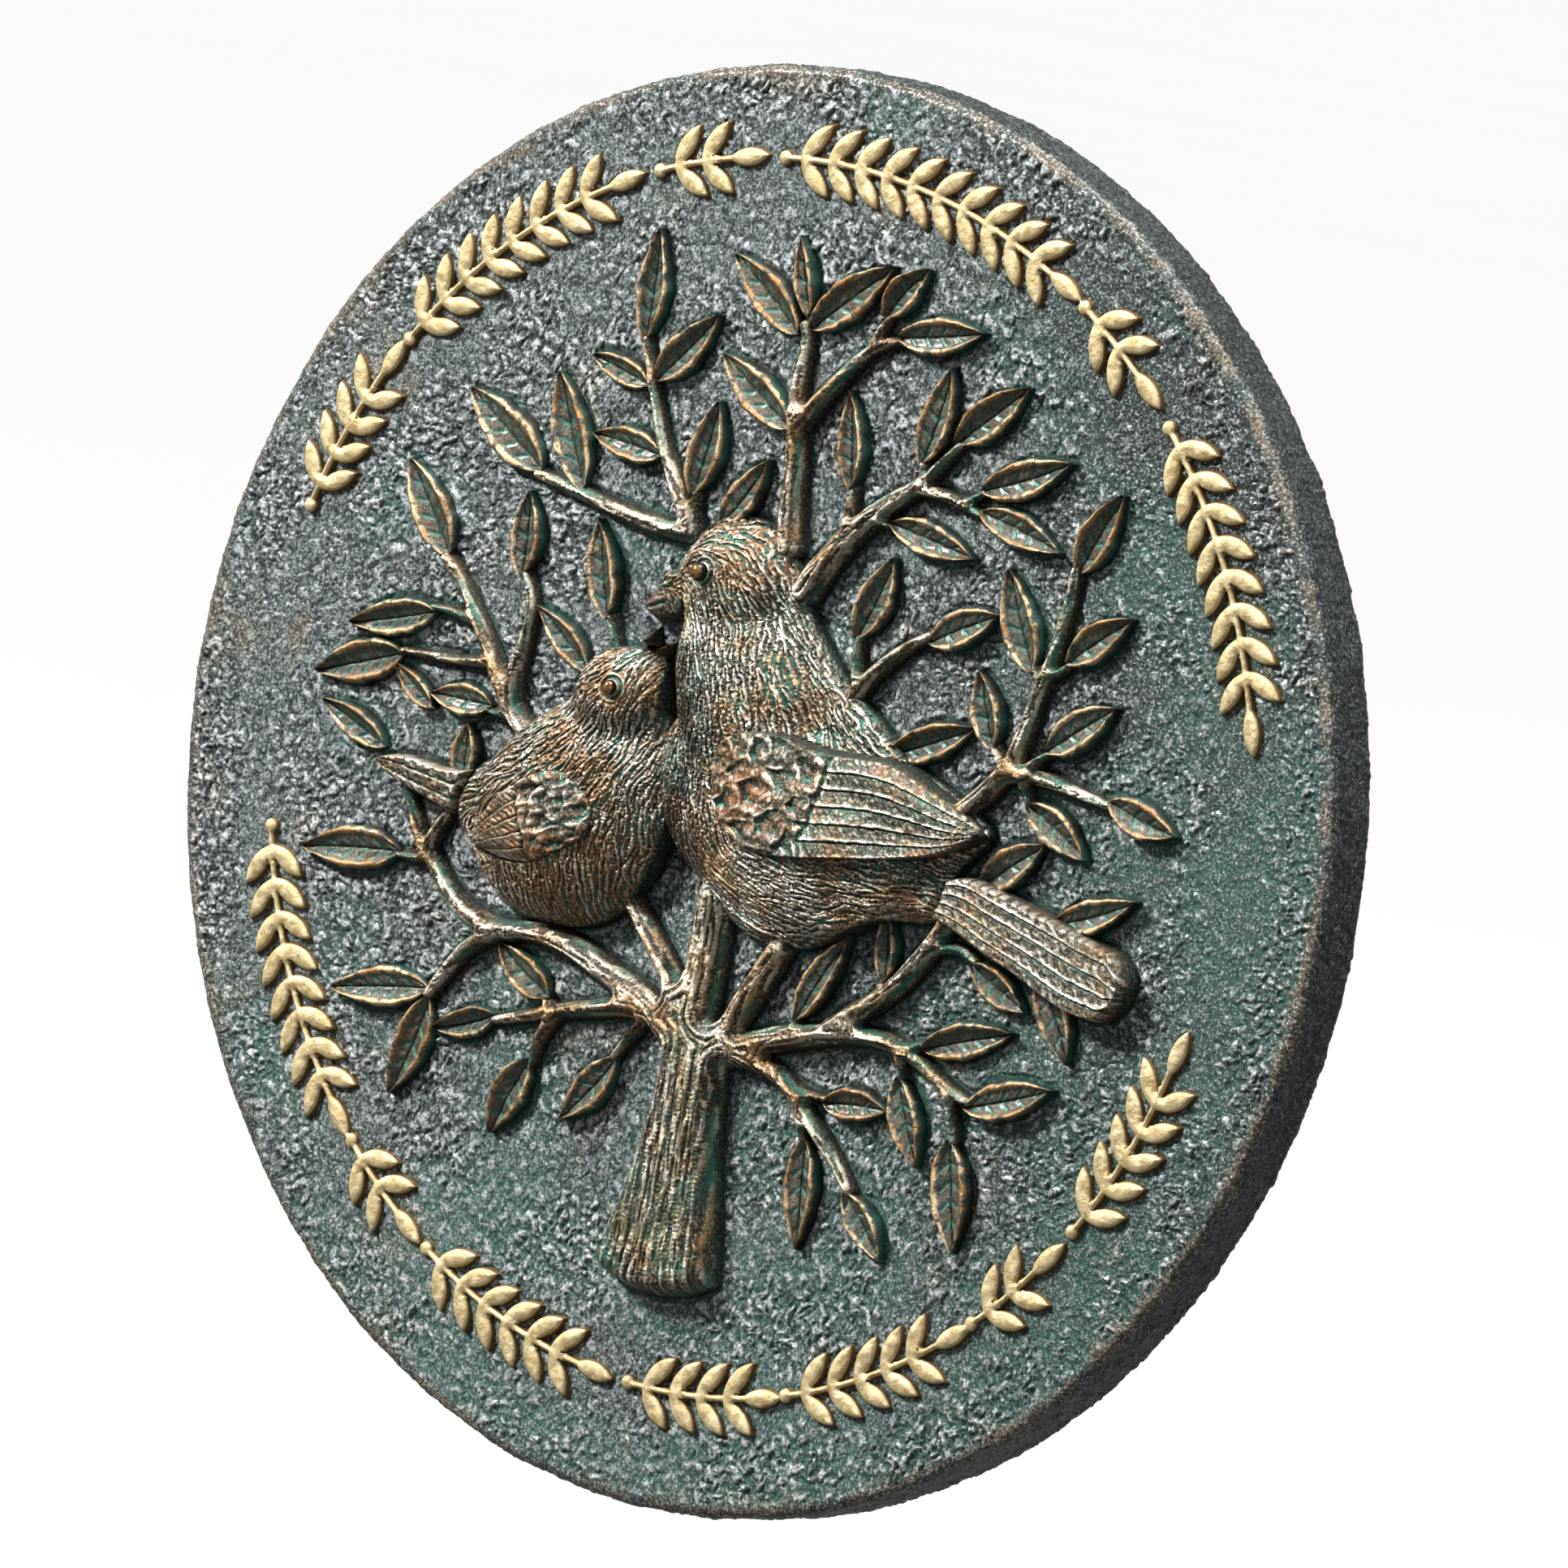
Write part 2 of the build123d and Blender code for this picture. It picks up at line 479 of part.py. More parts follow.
# ---- Trunk: flared to a flat foot, with its top open to the boughs
with BuildPart() as tree_trunk:
    for height, inset in ((0, 0), (TRUNK_HEIGHT, TRUNK_CROWN_INSET)):
        left = [(x + inset, z + inset * (z < -85)) for x, z in TRUNK_LEFT]
        right = [(x - inset, z + inset * (z < -85)) for x, z in TRUNK_RIGHT]
        with BuildSketch(FACE.offset(height)):
            with BuildLine():
                Spline(left)
                ThreePointArc(left[-1], (TRUNK_BASE[0], TRUNK_BASE[1] + inset), right[0])
                Spline(right)
                ThreePointArc(right[-1], (TRUNK_TOP[0], TRUNK_TOP[1] - inset), left[0])
            make_face()
    loft()
trunk_part = finish(tree_trunk, "tree_trunk")

# ---- Boughs: networks of twigs, each cut where it meets the trunk
bough_parts = {}
for name, branches in BOUGHS.items():
    with BuildPart() as bough:
        twigs(branches, TWIG_HEIGHT)
        add(trunk_part, mode=Mode.SUBTRACT)
        for other in bough_parts.values():
            add(other, mode=Mode.SUBTRACT)
    bough_parts[name] = finish(bough, name)

# ---- Broken boughs: three blunt stubs at the top of the trunk
with BuildPart() as broken_boughs:
    twigs(BROKEN_BOUGHS, STUB_HEIGHT)
    add(trunk_part, mode=Mode.SUBTRACT)
    for other in bough_parts.values():
        add(other, mode=Mode.SUBTRACT)
wood = [trunk_part, *bough_parts.values(), finish(broken_boughs, "broken_boughs")]

# ---- Leaves: one solid each, cut where they meet their twigs
leaf_parts = []
for name, placings in LEAVES.items():
    with BuildPart() as leaves:
        for base, tip, width in placings:
            leaf(base, tip, width)
        for other in wood + leaf_parts:
            add(other, mode=Mode.SUBTRACT)
    leaf_parts.append(finish(leaves, name))
lower_relief = wood + leaf_parts


# ---- Small bird, in front of the large one
def bird_body(outline, domes, cuts):
    """A bird's body: a slab with domes on it, hollowed for its eye, its wing and what runs under it."""
    space = prism(outline, 0, DOME_LIMIT)
    rounds = [dome(centre, semi_axes, turn) & space for centre, semi_axes, turn in domes]
    with BuildPart() as body:
        add(prism(outline, 0, BIRD_SLAB))
        add(rounds)
        for cut in cuts:
            add(cut, mode=Mode.SUBTRACT)
    return body


def bird_eye(eye, eye_radius):
    """A round eye, half sunk in the head."""
    with BuildPart() as ball:
        with Locations(face_point(eye[:2], eye[2])):
            Sphere(eye_radius)
    return ball


def bird_trim(runs, closing, height, neighbours):
    """A tail or beak: a flat-topped piece between smooth edge runs, with straight closing edges."""
    with BuildPart() as trim:
        with BuildSketch(FACE):
            with BuildLine():
                for run in runs:
                    Spline(run)
                for start, end in closing:
                    Line(start, end)
            make_face()
        extrude(amount=height)
        for other in neighbours:
            add(other, mode=Mode.SUBTRACT)
    return trim


small_wing_space = prism(SMALL_WING, BIRD_SLAB, DOME_LIMIT)
small_eye_part = finish(bird_eye(SMALL_EYE, SMALL_EYE_RADIUS), "small_bird_eye")
small_cuts = [small_wing_space, small_eye_part, *lower_relief]
small_body = finish(bird_body(SMALL_BODY, SMALL_DOMES, small_cuts), "small_bird_body")
with BuildPart() as small_wing:
    add(below_slope(small_wing_space, SMALL_WING_SLOPE, (0, 1)))
finish(small_wing, "small_bird_wing")
small_tail = bird_trim(
    [SMALL_TAIL_UNDER, SMALL_TAIL_TOP], [(SMALL_TAIL_TOP[-1], SMALL_TAIL_UNDER[0])], TAIL_HEIGHT,
    [small_body, *lower_relief],
)
finish(small_tail, "small_bird_tail")
with BuildPart() as small_beak:
    for mandible in (SMALL_BEAK_UPPER, SMALL_BEAK_LOWER):
        with BuildSketch(FACE):
            with BuildLine():
                Polyline(mandible, close=True)
            make_face()
        extrude(amount=BEAK_HEIGHT)
    add(small_body, mode=Mode.SUBTRACT)
finish(small_beak, "small_bird_beak")

# ---- Large bird
large_wing_space = prism(LARGE_WING, BIRD_SLAB, DOME_LIMIT)
small_bird_space = prism(SMALL_BODY, 0, DOME_LIMIT)
large_eye_part = finish(bird_eye(LARGE_EYE, LARGE_EYE_RADIUS), "large_bird_eye")
large_cuts = [large_wing_space, small_bird_space, large_eye_part, *lower_relief]
large_body = finish(bird_body(LARGE_BODY, LARGE_DOMES, large_cuts), "large_bird_body")
with BuildPart() as large_wing:
    add(below_slope(large_wing_space, LARGE_WING_SLOPE, (0, 1)))
finish(large_wing, "large_bird_wing")
large_tail = bird_trim(
    [LARGE_TAIL_TOP, LARGE_TAIL_END, LARGE_TAIL_UNDER],
    [(LARGE_TAIL_UNDER[-1], LARGE_TAIL_TOP[0])],
    TAIL_HEIGHT,
    [large_body, *lower_relief],
)
finish(large_tail, "large_bird_tail")
large_beak = bird_trim(
    [LARGE_BEAK_TOP, LARGE_BEAK_UNDER], [(LARGE_BEAK_UNDER[-1], LARGE_BEAK_TOP[0])], BEAK_HEIGHT, [large_body]
)
finish(large_beak, "large_bird_beak")


# ---- Gilt laurel borders
def polar(radius, angle):
    """The (x, z) point at a radius and an angle from the disc's centre."""
    return (radius * cos(radians(angle)), radius * sin(radians(angle)))


def gilt_spray(stem_radius, start, end):
    """Outline of a stem along an arc, with pairs of leaves, a leaf at its far end and a berry at the other."""
    way = 1 if end > start else -1
    pitch = GILT_LEAF_PITCH / radians(stem_radius)
    pairs = max(int(abs(end - start) / pitch), 1)
    with BuildSketch(FACE) as spray:
        with BuildLine():
            outer = CenterArc((0, 0), stem_radius + GILT_STEM_WIDTH / 2, start, end - start)
            inner = CenterArc((0, 0), stem_radius - GILT_STEM_WIDTH / 2, start, end - start)
            Line(outer @ 0, inner @ 0)
            Line(outer @ 1, inner @ 1)
        make_face()
        for index in range(pairs + 1):
            angle = start + way * min((index + 0.35) * pitch, abs(end - start) - GILT_END_MARGIN)
            tilts = (-GILT_LEAF_TILT, GILT_LEAF_TILT) if index < pairs else (0,)
            for tilt in tilts:
                heading = angle + way * (90 - tilt)
                root = Vector(*polar(stem_radius, angle))
                along = Vector(*polar(GILT_LEAF_LENGTH, heading))
                across = Vector(*polar(GILT_LEAF_WIDTH / 2, heading + 90))
                with BuildLine():
                    ThreePointArc(root, root + along / 2 + across, root + along)
                    ThreePointArc(root + along, root + along / 2 - across, root)
                make_face()
        with Locations(polar(stem_radius, start - way * 0.6)):
            Circle(GILT_BERRY_RADIUS)
    return spray.sketch


for name, stem_radius, sprays in (
    ("gilt_border_upper", UPPER_STEM_RADIUS, UPPER_SPRAYS),
    ("gilt_border_lower", LOWER_STEM_RADIUS, LOWER_SPRAYS),
):
    with BuildPart() as border:
        for start, end in sprays:
            extrude(gilt_spray(stem_radius, start, end), amount=GILT_HEIGHT)
    finish(border, name)
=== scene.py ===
import math

import bpy
import numpy as np
from mathutils import Matrix, Vector
from mathutils.geometry import delaunay_2d_cdt


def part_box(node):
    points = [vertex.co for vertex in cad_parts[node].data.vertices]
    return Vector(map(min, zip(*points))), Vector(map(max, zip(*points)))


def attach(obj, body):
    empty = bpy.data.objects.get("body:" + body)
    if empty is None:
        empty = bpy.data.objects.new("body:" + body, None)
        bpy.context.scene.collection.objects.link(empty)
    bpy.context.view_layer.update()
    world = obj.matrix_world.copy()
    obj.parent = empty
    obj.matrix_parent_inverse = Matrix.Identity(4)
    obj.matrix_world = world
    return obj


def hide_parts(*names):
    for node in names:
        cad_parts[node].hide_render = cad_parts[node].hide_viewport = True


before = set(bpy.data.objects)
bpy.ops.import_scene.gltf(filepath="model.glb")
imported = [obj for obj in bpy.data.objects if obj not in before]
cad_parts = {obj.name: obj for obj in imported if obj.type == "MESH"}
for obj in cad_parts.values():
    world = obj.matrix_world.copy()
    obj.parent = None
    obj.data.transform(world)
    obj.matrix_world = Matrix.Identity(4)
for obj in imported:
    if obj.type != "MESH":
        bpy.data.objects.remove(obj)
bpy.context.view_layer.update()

# Everything below works in millimetres on the decorated face: x to the right, z up, and h, the height
# above the face's ground, towards the viewer.
GROUND = -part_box("plaque_disc")[0][1] * 1000
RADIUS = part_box("plaque_disc")[1][0] * 1000

BOUGHS = [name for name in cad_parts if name.startswith(("bough_", "twig_"))]
WOOD = ["tree_trunk", "broken_boughs", *BOUGHS]
LEAVES = [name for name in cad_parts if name.startswith("leaves_")]
GILT = ["gilt_border_upper", "gilt_border_lower"]

# How far the cast pieces' walls stand outside the CAD outlines, and the heights of their bases
SKIRT = 0.75
SUNK_BASE = -1.6
WING_BASE = 2.0

# Heights of the CAD planes that the birds' outlines are read from
BODY_CUT = 3.97
WING_SEAT = 4.0
TAIL_TOP = 4.6

# Axis and shift of each of a grid place's four neighbours
NEIGHBOURS = ((0, 1), (0, -1), (1, 1), (1, -1))

# Surfaces that meet more sharply than this are shaded with a crease
CREASE = math.radians(60)


# ---- Numbers that repeat: noise, smoothing and shaping
def lattice(i, j, k, seed):
    """A repeatable random number from 0 to 1 at each whole point of a lattice."""
    n = (i * 374761393 + j * 668265263 + k * 2147483647 + seed * 1274126177) & 0xFFFFFFFF
    n = ((n ^ (n >> 13)) * 1274126177) & 0xFFFFFFFF
    n = ((n ^ (n >> 15)) * 2246822519) & 0xFFFFFFFF
    return ((n ^ (n >> 16)) & 0xFFFFFF) / 0xFFFFFF


def noise(x, z, size, seed, y=0.0):
    """Smooth noise from about -1 to 1 whose features are about this many mm across."""
    turn = 0.7 + seed
    u = (x * math.cos(turn) - z * math.sin(turn)) / size
    v = (x * math.sin(turn) + z * math.cos(turn)) / size
    w = np.zeros_like(u) + y / size
    i, j, k = (np.floor(a).astype(np.int64) for a in (u, v, w))
    f, g, e = u - i, v - j, w - k
    total = 0
    for di in (0, 1):
        for dj in (0, 1):
            for dk in (0, 1):
                angle = lattice(i + di, j + dj, k + dk, seed) * 2 * math.pi
                lift = lattice(i + di, j + dj, k + dk, seed + 50) * 2 - 1
                flat = np.sqrt(1 - lift * lift)
                dot = (f - di) * np.cos(angle) * flat + (g - dj) * np.sin(angle) * flat + (e - dk) * lift
                weight = 1
                for share, side in ((f, di), (g, dj), (e, dk)):
                    near = share * share * share * (share * (share * 6 - 15) + 10)
                    weight = weight * (near if side else 1 - near)
                total = total + dot * weight
    return total * 1.7


def blurred(values, reach, rounds=2):
    """A square array averaged over squares that reach this many cells each way."""
    for _ in range(rounds):
        for axis in (0, 1):
            pad = [(reach + 1, reach) if a == axis else (0, 0) for a in (0, 1)]
            sums = np.cumsum(np.pad(values, pad, mode="edge"), axis=axis)
            size = values.shape[axis]
            top = np.take(sums, np.arange(2 * reach + 1, 2 * reach + 1 + size), axis=axis)
            low = np.take(sums, np.arange(0, size), axis=axis)
            values = (top - low) / (2 * reach + 1)
    return values


def ease(value, low, high):
    """0 below low, 1 above high, and smooth between."""
    share = np.clip((value - low) / (high - low), 0, 1)
    return share * share * (3 - 2 * share)


def bump(value, centre, width):
    """A smooth hump of height 1."""
    return np.exp(-(((value - centre) / width) ** 2))


def patch(x, z, centre, width):
    """A soft round patch of height 1."""
    return bump(np.hypot(x - centre[0], z - centre[1]), 0, width)


def smooth_max(a, b, blend):
    """The larger of two heights, rounded over where they are near each other."""
    return (a + b + np.sqrt((a - b) ** 2 + blend * blend)) / 2


def shoulder(distance, width, height):
    """A rounded edge that rises from an outline and is level from this width inwards; outside it dives."""
    share = np.clip(distance / width, 0, 1)
    return height * (1 - (1 - share) ** 2.4) + 3.0 * np.minimum(distance, 0)


# ---- Outlines of the CAD parts
def mesh_arrays(node):
    """A CAD part's points (x, z, h) in mm, merged where they coincide, and its triangles."""
    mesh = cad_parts[node].data
    points = np.empty(len(mesh.vertices) * 3)
    mesh.vertices.foreach_get("co", points)
    points = points.reshape(-1, 3) * 1000
    points = np.stack([points[:, 0], points[:, 2], -points[:, 1] - GROUND], axis=1)
    _, first, index = np.unique(np.round(points, 3), axis=0, return_index=True, return_inverse=True)
    corners = np.empty(len(mesh.loops), np.int32)
    mesh.loops.foreach_get("vertex_index", corners)
    return points[first], index.ravel()[corners].reshape(-1, 3)


def open_edges(faces):
    """Edges that only one face uses, in that face's direction."""
    width = faces.shape[1]
    edges = np.concatenate([faces[:, [k, (k + 1) % width]] for k in range(width)])
    size = int(faces.max()) + 1
    alone = ~np.isin(edges[:, 0] * size + edges[:, 1], edges[:, 1] * size + edges[:, 0])
    return edges[alone]


def level_faces(points, triangles, height):
    """Which triangles lie at a height above the ground."""
    return np.all(np.abs(points[triangles, 2] - height) < 0.004, axis=1)


def outlines(node, height):
    """Closed outlines (x, z) of a CAD part's flat face at a height above the ground."""
    points, triangles = mesh_arrays(node)
    edges = open_edges(triangles[level_faces(points, triangles, height)])
    return [points[loop, :2] for loop in chained(edges)]


def chained(edges):
    """Closed runs of points from edges that each lead on to the next."""
    follow = {}
    for a, b in edges.tolist():
        follow.setdefault(a, []).append(b)
    loops = []
    while follow:
        loop = [next(iter(follow))]
        while loop[-1] in follow:
            after = follow[loop[-1]].pop()
            if not follow[loop[-1]]:
                del follow[loop[-1]]
            if after == loop[0]:
                break
            loop.append(after)
        if len(loop) > 2:
            loops.append(loop)
    return loops


def section(node, height):
    """Closed outlines (x, z) of a CAD part where a level plane cuts it."""
    points, triangles = mesh_arrays(node)
    above = points[:, 2] > height
    starts, stops = np.zeros((2, len(triangles), 2))
    cut = np.zeros(len(triangles), bool)
    for k in range(3):
        a, b = triangles[:, k], triangles[:, (k + 1) % 3]
        crossed = above[a] != above[b]
        share = (height - points[a, 2]) / np.where(crossed, points[b, 2] - points[a, 2], 1)
        spot = points[a, :2] + (points[b, :2] - points[a, :2]) * share[:, None]
        falls, climbs = crossed & above[a], crossed & ~above[a]
        starts[falls], stops[climbs] = spot[falls], spot[climbs]
        cut |= crossed
    both = np.round(np.concatenate([starts[cut], stops[cut]]), 3)
    spots, index = np.unique(both, axis=0, return_inverse=True)
    edges = index.ravel().reshape(2, -1).T
    return [spots[loop] for loop in chained(edges[edges[:, 0] != edges[:, 1]])]


class Grid:
    """A square grid over part of the face."""

    def __init__(self, low, high, cell):
        self.low = np.array(low, float)
        self.cell = cell
        rows = [np.arange(a, b, cell) for a, b in zip(low, high)]
        self.x, self.z = np.meshgrid(*rows, indexing="ij")

    def noise(self, size, seed):
        return noise(self.x, self.z, size, seed)

    def index(self, x, z):
        """Nearest grid places of points."""
        i = np.clip(np.round((x - self.low[0]) / self.cell).astype(int), 0, self.x.shape[0] - 1)
        j = np.clip(np.round((z - self.low[1]) / self.cell).astype(int), 0, self.x.shape[1] - 1)
        return i, j

    def sample(self, values, x, z):
        """Values of a map at points between its grid places."""
        u = np.clip((x - self.low[0]) / self.cell, 0, values.shape[0] - 1.001)
        v = np.clip((z - self.low[1]) / self.cell, 0, values.shape[1] - 1.001)
        i, j = u.astype(int), v.astype(int)
        f, g = u - i, v - j
        low = values[i, j] * (1 - f) + values[i + 1, j] * f
        high = values[i, j + 1] * (1 - f) + values[i + 1, j + 1] * f
        return low * (1 - g) + high * g

    def inside(self, loops):
        """Which grid places are inside closed outlines."""
        crossings = np.zeros((self.x.shape[0] + 1, self.x.shape[1]), np.int32)
        for loop in loops:
            for a, b in zip(loop, np.roll(loop, -1, axis=0)):
                low, high = (a, b) if a[1] < b[1] else (b, a)
                span = (np.array([low[1], high[1]]) - self.low[1]) / self.cell
                rows = np.arange(*np.ceil(span).astype(int))
                if not len(rows):
                    continue
                z = self.low[1] + rows * self.cell
                x = low[0] + (high[0] - low[0]) * (z - low[1]) / (high[1] - low[1])
                columns = np.ceil((x - self.low[0]) / self.cell).astype(int)
                kept = (rows >= 0) & (rows < self.x.shape[1])
                columns = np.clip(columns, 0, self.x.shape[0])
                np.add.at(crossings, (columns[kept], rows[kept]), 1)
        return (np.cumsum(crossings, axis=0)[:-1] % 2) == 1

    def distance(self, groups, reach):
        """Distance to the joined outline of some parts, positive inside, and which part owns each place."""
        owner = np.full(self.x.shape, -1)
        for number, loops in enumerate(groups):
            owner[self.inside(loops)] = number
        covered = owner >= 0
        far = np.full(self.x.shape, float(reach))
        for loop in (loop for loops in groups for loop in loops):
            for a, b in zip(loop, np.roll(loop, -1, axis=0)):
                run = b - a
                length = math.hypot(*run)
                if length < 1e-6:
                    continue
                across = np.array([-run[1], run[0]]) / length * 1.3 * self.cell
                sides = np.array([(a + b) / 2 + across, (a + b) / 2 - across])
                if covered[self.index(sides[:, 0], sides[:, 1])].all():
                    continue
                i0, j0 = np.maximum((np.minimum(a, b) - reach - self.low) / self.cell, 0).astype(int)
                i1, j1 = ((np.maximum(a, b) + reach - self.low) / self.cell).astype(int) + 2
                x, z = self.x[i0:i1, j0:j1] - a[0], self.z[i0:i1, j0:j1] - a[1]
                share = np.clip((x * run[0] + z * run[1]) / (length * length), 0, 1)
                found = np.hypot(x - share * run[0], z - share * run[1])
                np.minimum(far[i0:i1, j0:j1], found, out=far[i0:i1, j0:j1])
        for _ in range(int(SKIRT / self.cell) + 3):
            for axis, shift in NEIGHBOURS:
                owner = np.where(owner < 0, np.roll(owner, shift, axis), owner)
        return np.where(covered, far, -far), owner

    def streaks(self, where, along, size, length, seed):
        """Noise smeared along a direction: strokes of this width and length, with a spread of about 1."""
        grain = self.noise(size, seed)
        x0, z0 = self.x[where], self.z[where]
        total = grain[where].copy()
        step = self.cell * 1.5
        for way in (1, -1):
            x, z = x0.copy(), z0.copy()
            for _ in range(int(length / 2 / step)):
                place = self.index(x, z)
                x += way * step * np.cos(along[place])
                z += way * step * np.sin(along[place])
                total += self.sample(grain, x, z)
        found = np.zeros(self.x.shape)
        found[where] = total / total.std()
        return found


def resampled(loops, step):
    """Outlines with points no further apart than a step."""
    found = []
    for loop in loops:
        pieces = []
        for a, b in zip(loop, np.roll(loop, -1, axis=0)):
            count = max(int(math.ceil(math.hypot(*(b - a)) / step)), 1)
            pieces.append(a + (b - a) * np.arange(count)[:, None] / count)
        found.append(np.concatenate(pieces))
    return found


# ---- Meshes
def place(x, z, h):
    """Points in the part's own frame, in metres."""
    return np.stack([x, -(GROUND + h), z], axis=-1) / 1000


def put_in_scene(name, data):
    """A new object in the scene for a mesh, light or camera."""
    made = bpy.data.objects.new(name, data)
    bpy.context.scene.collection.objects.link(made)
    return made


def make_object(name, points, faces, material, values):
    """An object from points in metres and arrays of faces, with named numbers on its points."""
    mesh = bpy.data.meshes.new(name)
    mesh.vertices.add(len(points))
    mesh.vertices.foreach_set("co", np.ascontiguousarray(points, np.float32).ravel())
    corners = np.concatenate([face.ravel() for face in faces]).astype(np.int32)
    sizes = np.concatenate([np.full(len(face), face.shape[1]) for face in faces])
    mesh.loops.add(len(corners))
    mesh.loops.foreach_set("vertex_index", corners)
    mesh.polygons.add(len(sizes))
    mesh.polygons.foreach_set("loop_start", (np.cumsum(sizes) - sizes).astype(np.int32))
    mesh.update(calc_edges=True)
    mesh.validate()
    for key, numbers in values.items():
        layer = mesh.attributes.new(key, "FLOAT", "POINT")
        layer.data.foreach_set("value", np.ascontiguousarray(numbers, np.float32).ravel())
    mesh.shade_smooth()
    mesh.set_sharp_from_angle(angle=CREASE)
    mesh.materials.append(material)
    return put_in_scene(name, mesh)


def grid_faces(numbers):
    """The four-cornered faces of a grid of point numbers."""
    corners = [numbers[:-1, :-1], numbers[1:, :-1], numbers[1:, 1:], numbers[:-1, 1:]]
    return np.stack(corners, axis=-1).reshape(-1, 4)


def relief_piece(name, grid, squares, top, bottom, material, values):
    """A closed piece under a height map: its top, walls round its edge and its base."""
    corners = grid_faces(np.arange(grid.x.size).reshape(grid.x.shape))[squares[:-1, :-1].ravel()]
    used, index = np.unique(corners, return_inverse=True)
    upper = index.reshape(-1, 4)
    count = len(used)
    x, z, h = grid.x.ravel()[used], grid.z.ravel()[used], top.ravel()[used]
    base = np.minimum(np.broadcast_to(bottom, top.shape).ravel()[used], h - 0.05)
    edges = open_edges(upper)
    walls = np.stack([edges[:, 1], edges[:, 0], edges[:, 0] + count, edges[:, 1] + count], axis=1)
    points = np.concatenate([place(x, z, h), place(x, z, base)])
    numbers = {key: np.tile(value.ravel()[used], 2) for key, value in values.items()}
    return make_object(name, points, [upper, walls, upper[:, ::-1] + count], material, numbers)


def whole_squares(kept):
    """Squares of a grid whose four corners are all kept."""
    found = np.zeros_like(kept)
    found[:-1, :-1] = kept[:-1, :-1] & kept[1:, :-1] & kept[1:, 1:] & kept[:-1, 1:]
    return found


# ---- Materials
def colour(red, green, blue):
    """A linear colour from display values of 0 to 255."""
    linear = [((v / 255 + 0.055) / 1.055) ** 2.4 if v > 10 else v / 255 / 12.92 for v in (red, green, blue)]
    return (*linear, 1.0)


class Shader:
    """One material's shader tree."""

    def __init__(self, name):
        self.material = bpy.data.materials.new(name)
        self.material.use_nodes = True
        self.tree = self.material.node_tree
        self.tree.nodes.clear()
        self.where = self.node("TexCoord").outputs["Object"]

    def node(self, kind, inputs=None, **settings):
        made = self.tree.nodes.new("ShaderNode" + kind)
        for key, value in settings.items():
            setattr(made, key, value)
        for key, value in (inputs or {}).items():
            if isinstance(value, bpy.types.NodeSocket):
                self.tree.links.new(value, made.inputs[key])
            else:
                made.inputs[key].default_value = value
        return made

    def value(self, name):
        """A named number that the mesh carries on its points."""
        return self.node("Attribute", attribute_name=name).outputs["Fac"]

    def noise(self, size, detail=3.0, rough=0.55, stretch=None):
        """Noise from 0 to 1 whose features are about this many mm across."""
        where = self.where
        if stretch:
            where = self.node("Mapping", {"Vector": where, "Scale": stretch}).outputs[0]
        inputs = {"Vector": where, "Scale": 1000 / size, "Detail": detail, "Roughness": rough}
        return self.node("TexNoise", inputs).outputs["Fac"]

    def math(self, operation, a, b):
        return self.node("Math", {0: a, 1: b}, operation=operation).outputs[0]

    def plus(self, a, b):
        return self.math("ADD", a, b)

    def minus(self, a, b):
        return self.math("SUBTRACT", a, b)

    def times(self, a, b):
        return self.math("MULTIPLY", a, b)

    def band(self, value, low, high):
        """0 below low and 1 above high, or the other way round if low is the larger."""
        inputs = {"Value": value, "From Min": low, "From Max": high}
        return self.node("MapRange", inputs, interpolation_type="SMOOTHSTEP").outputs[0]

    def mix(self, share, a, b):
        return self.node("Mix", {0: share, 6: a, 7: b}, data_type="RGBA").outputs[2]

    def finish(self, base, rough, metallic, height, bump_mm, **uniform):
        """Connects the surface; uniform values go straight on their sockets."""
        bump = self.node("Bump", {"Height": height, "Strength": 1.0, "Distance": bump_mm / 1000})
        inputs = {"Base Color": base, "Roughness": rough, "Metallic": metallic, "Normal": bump.outputs[0]}
        shader = self.node("BsdfPrincipled", inputs)
        for key, value in uniform.items():
            shader.inputs[key.replace("_", " ")].default_value = value
        self.tree.links.new(shader.outputs[0], self.node("OutputMaterial").inputs[0])
        return self.material


TEAL_DEEP = colour(18, 58, 50)
TEAL = colour(42, 116, 100)
GREEN_BLACK = colour(9, 14, 13)


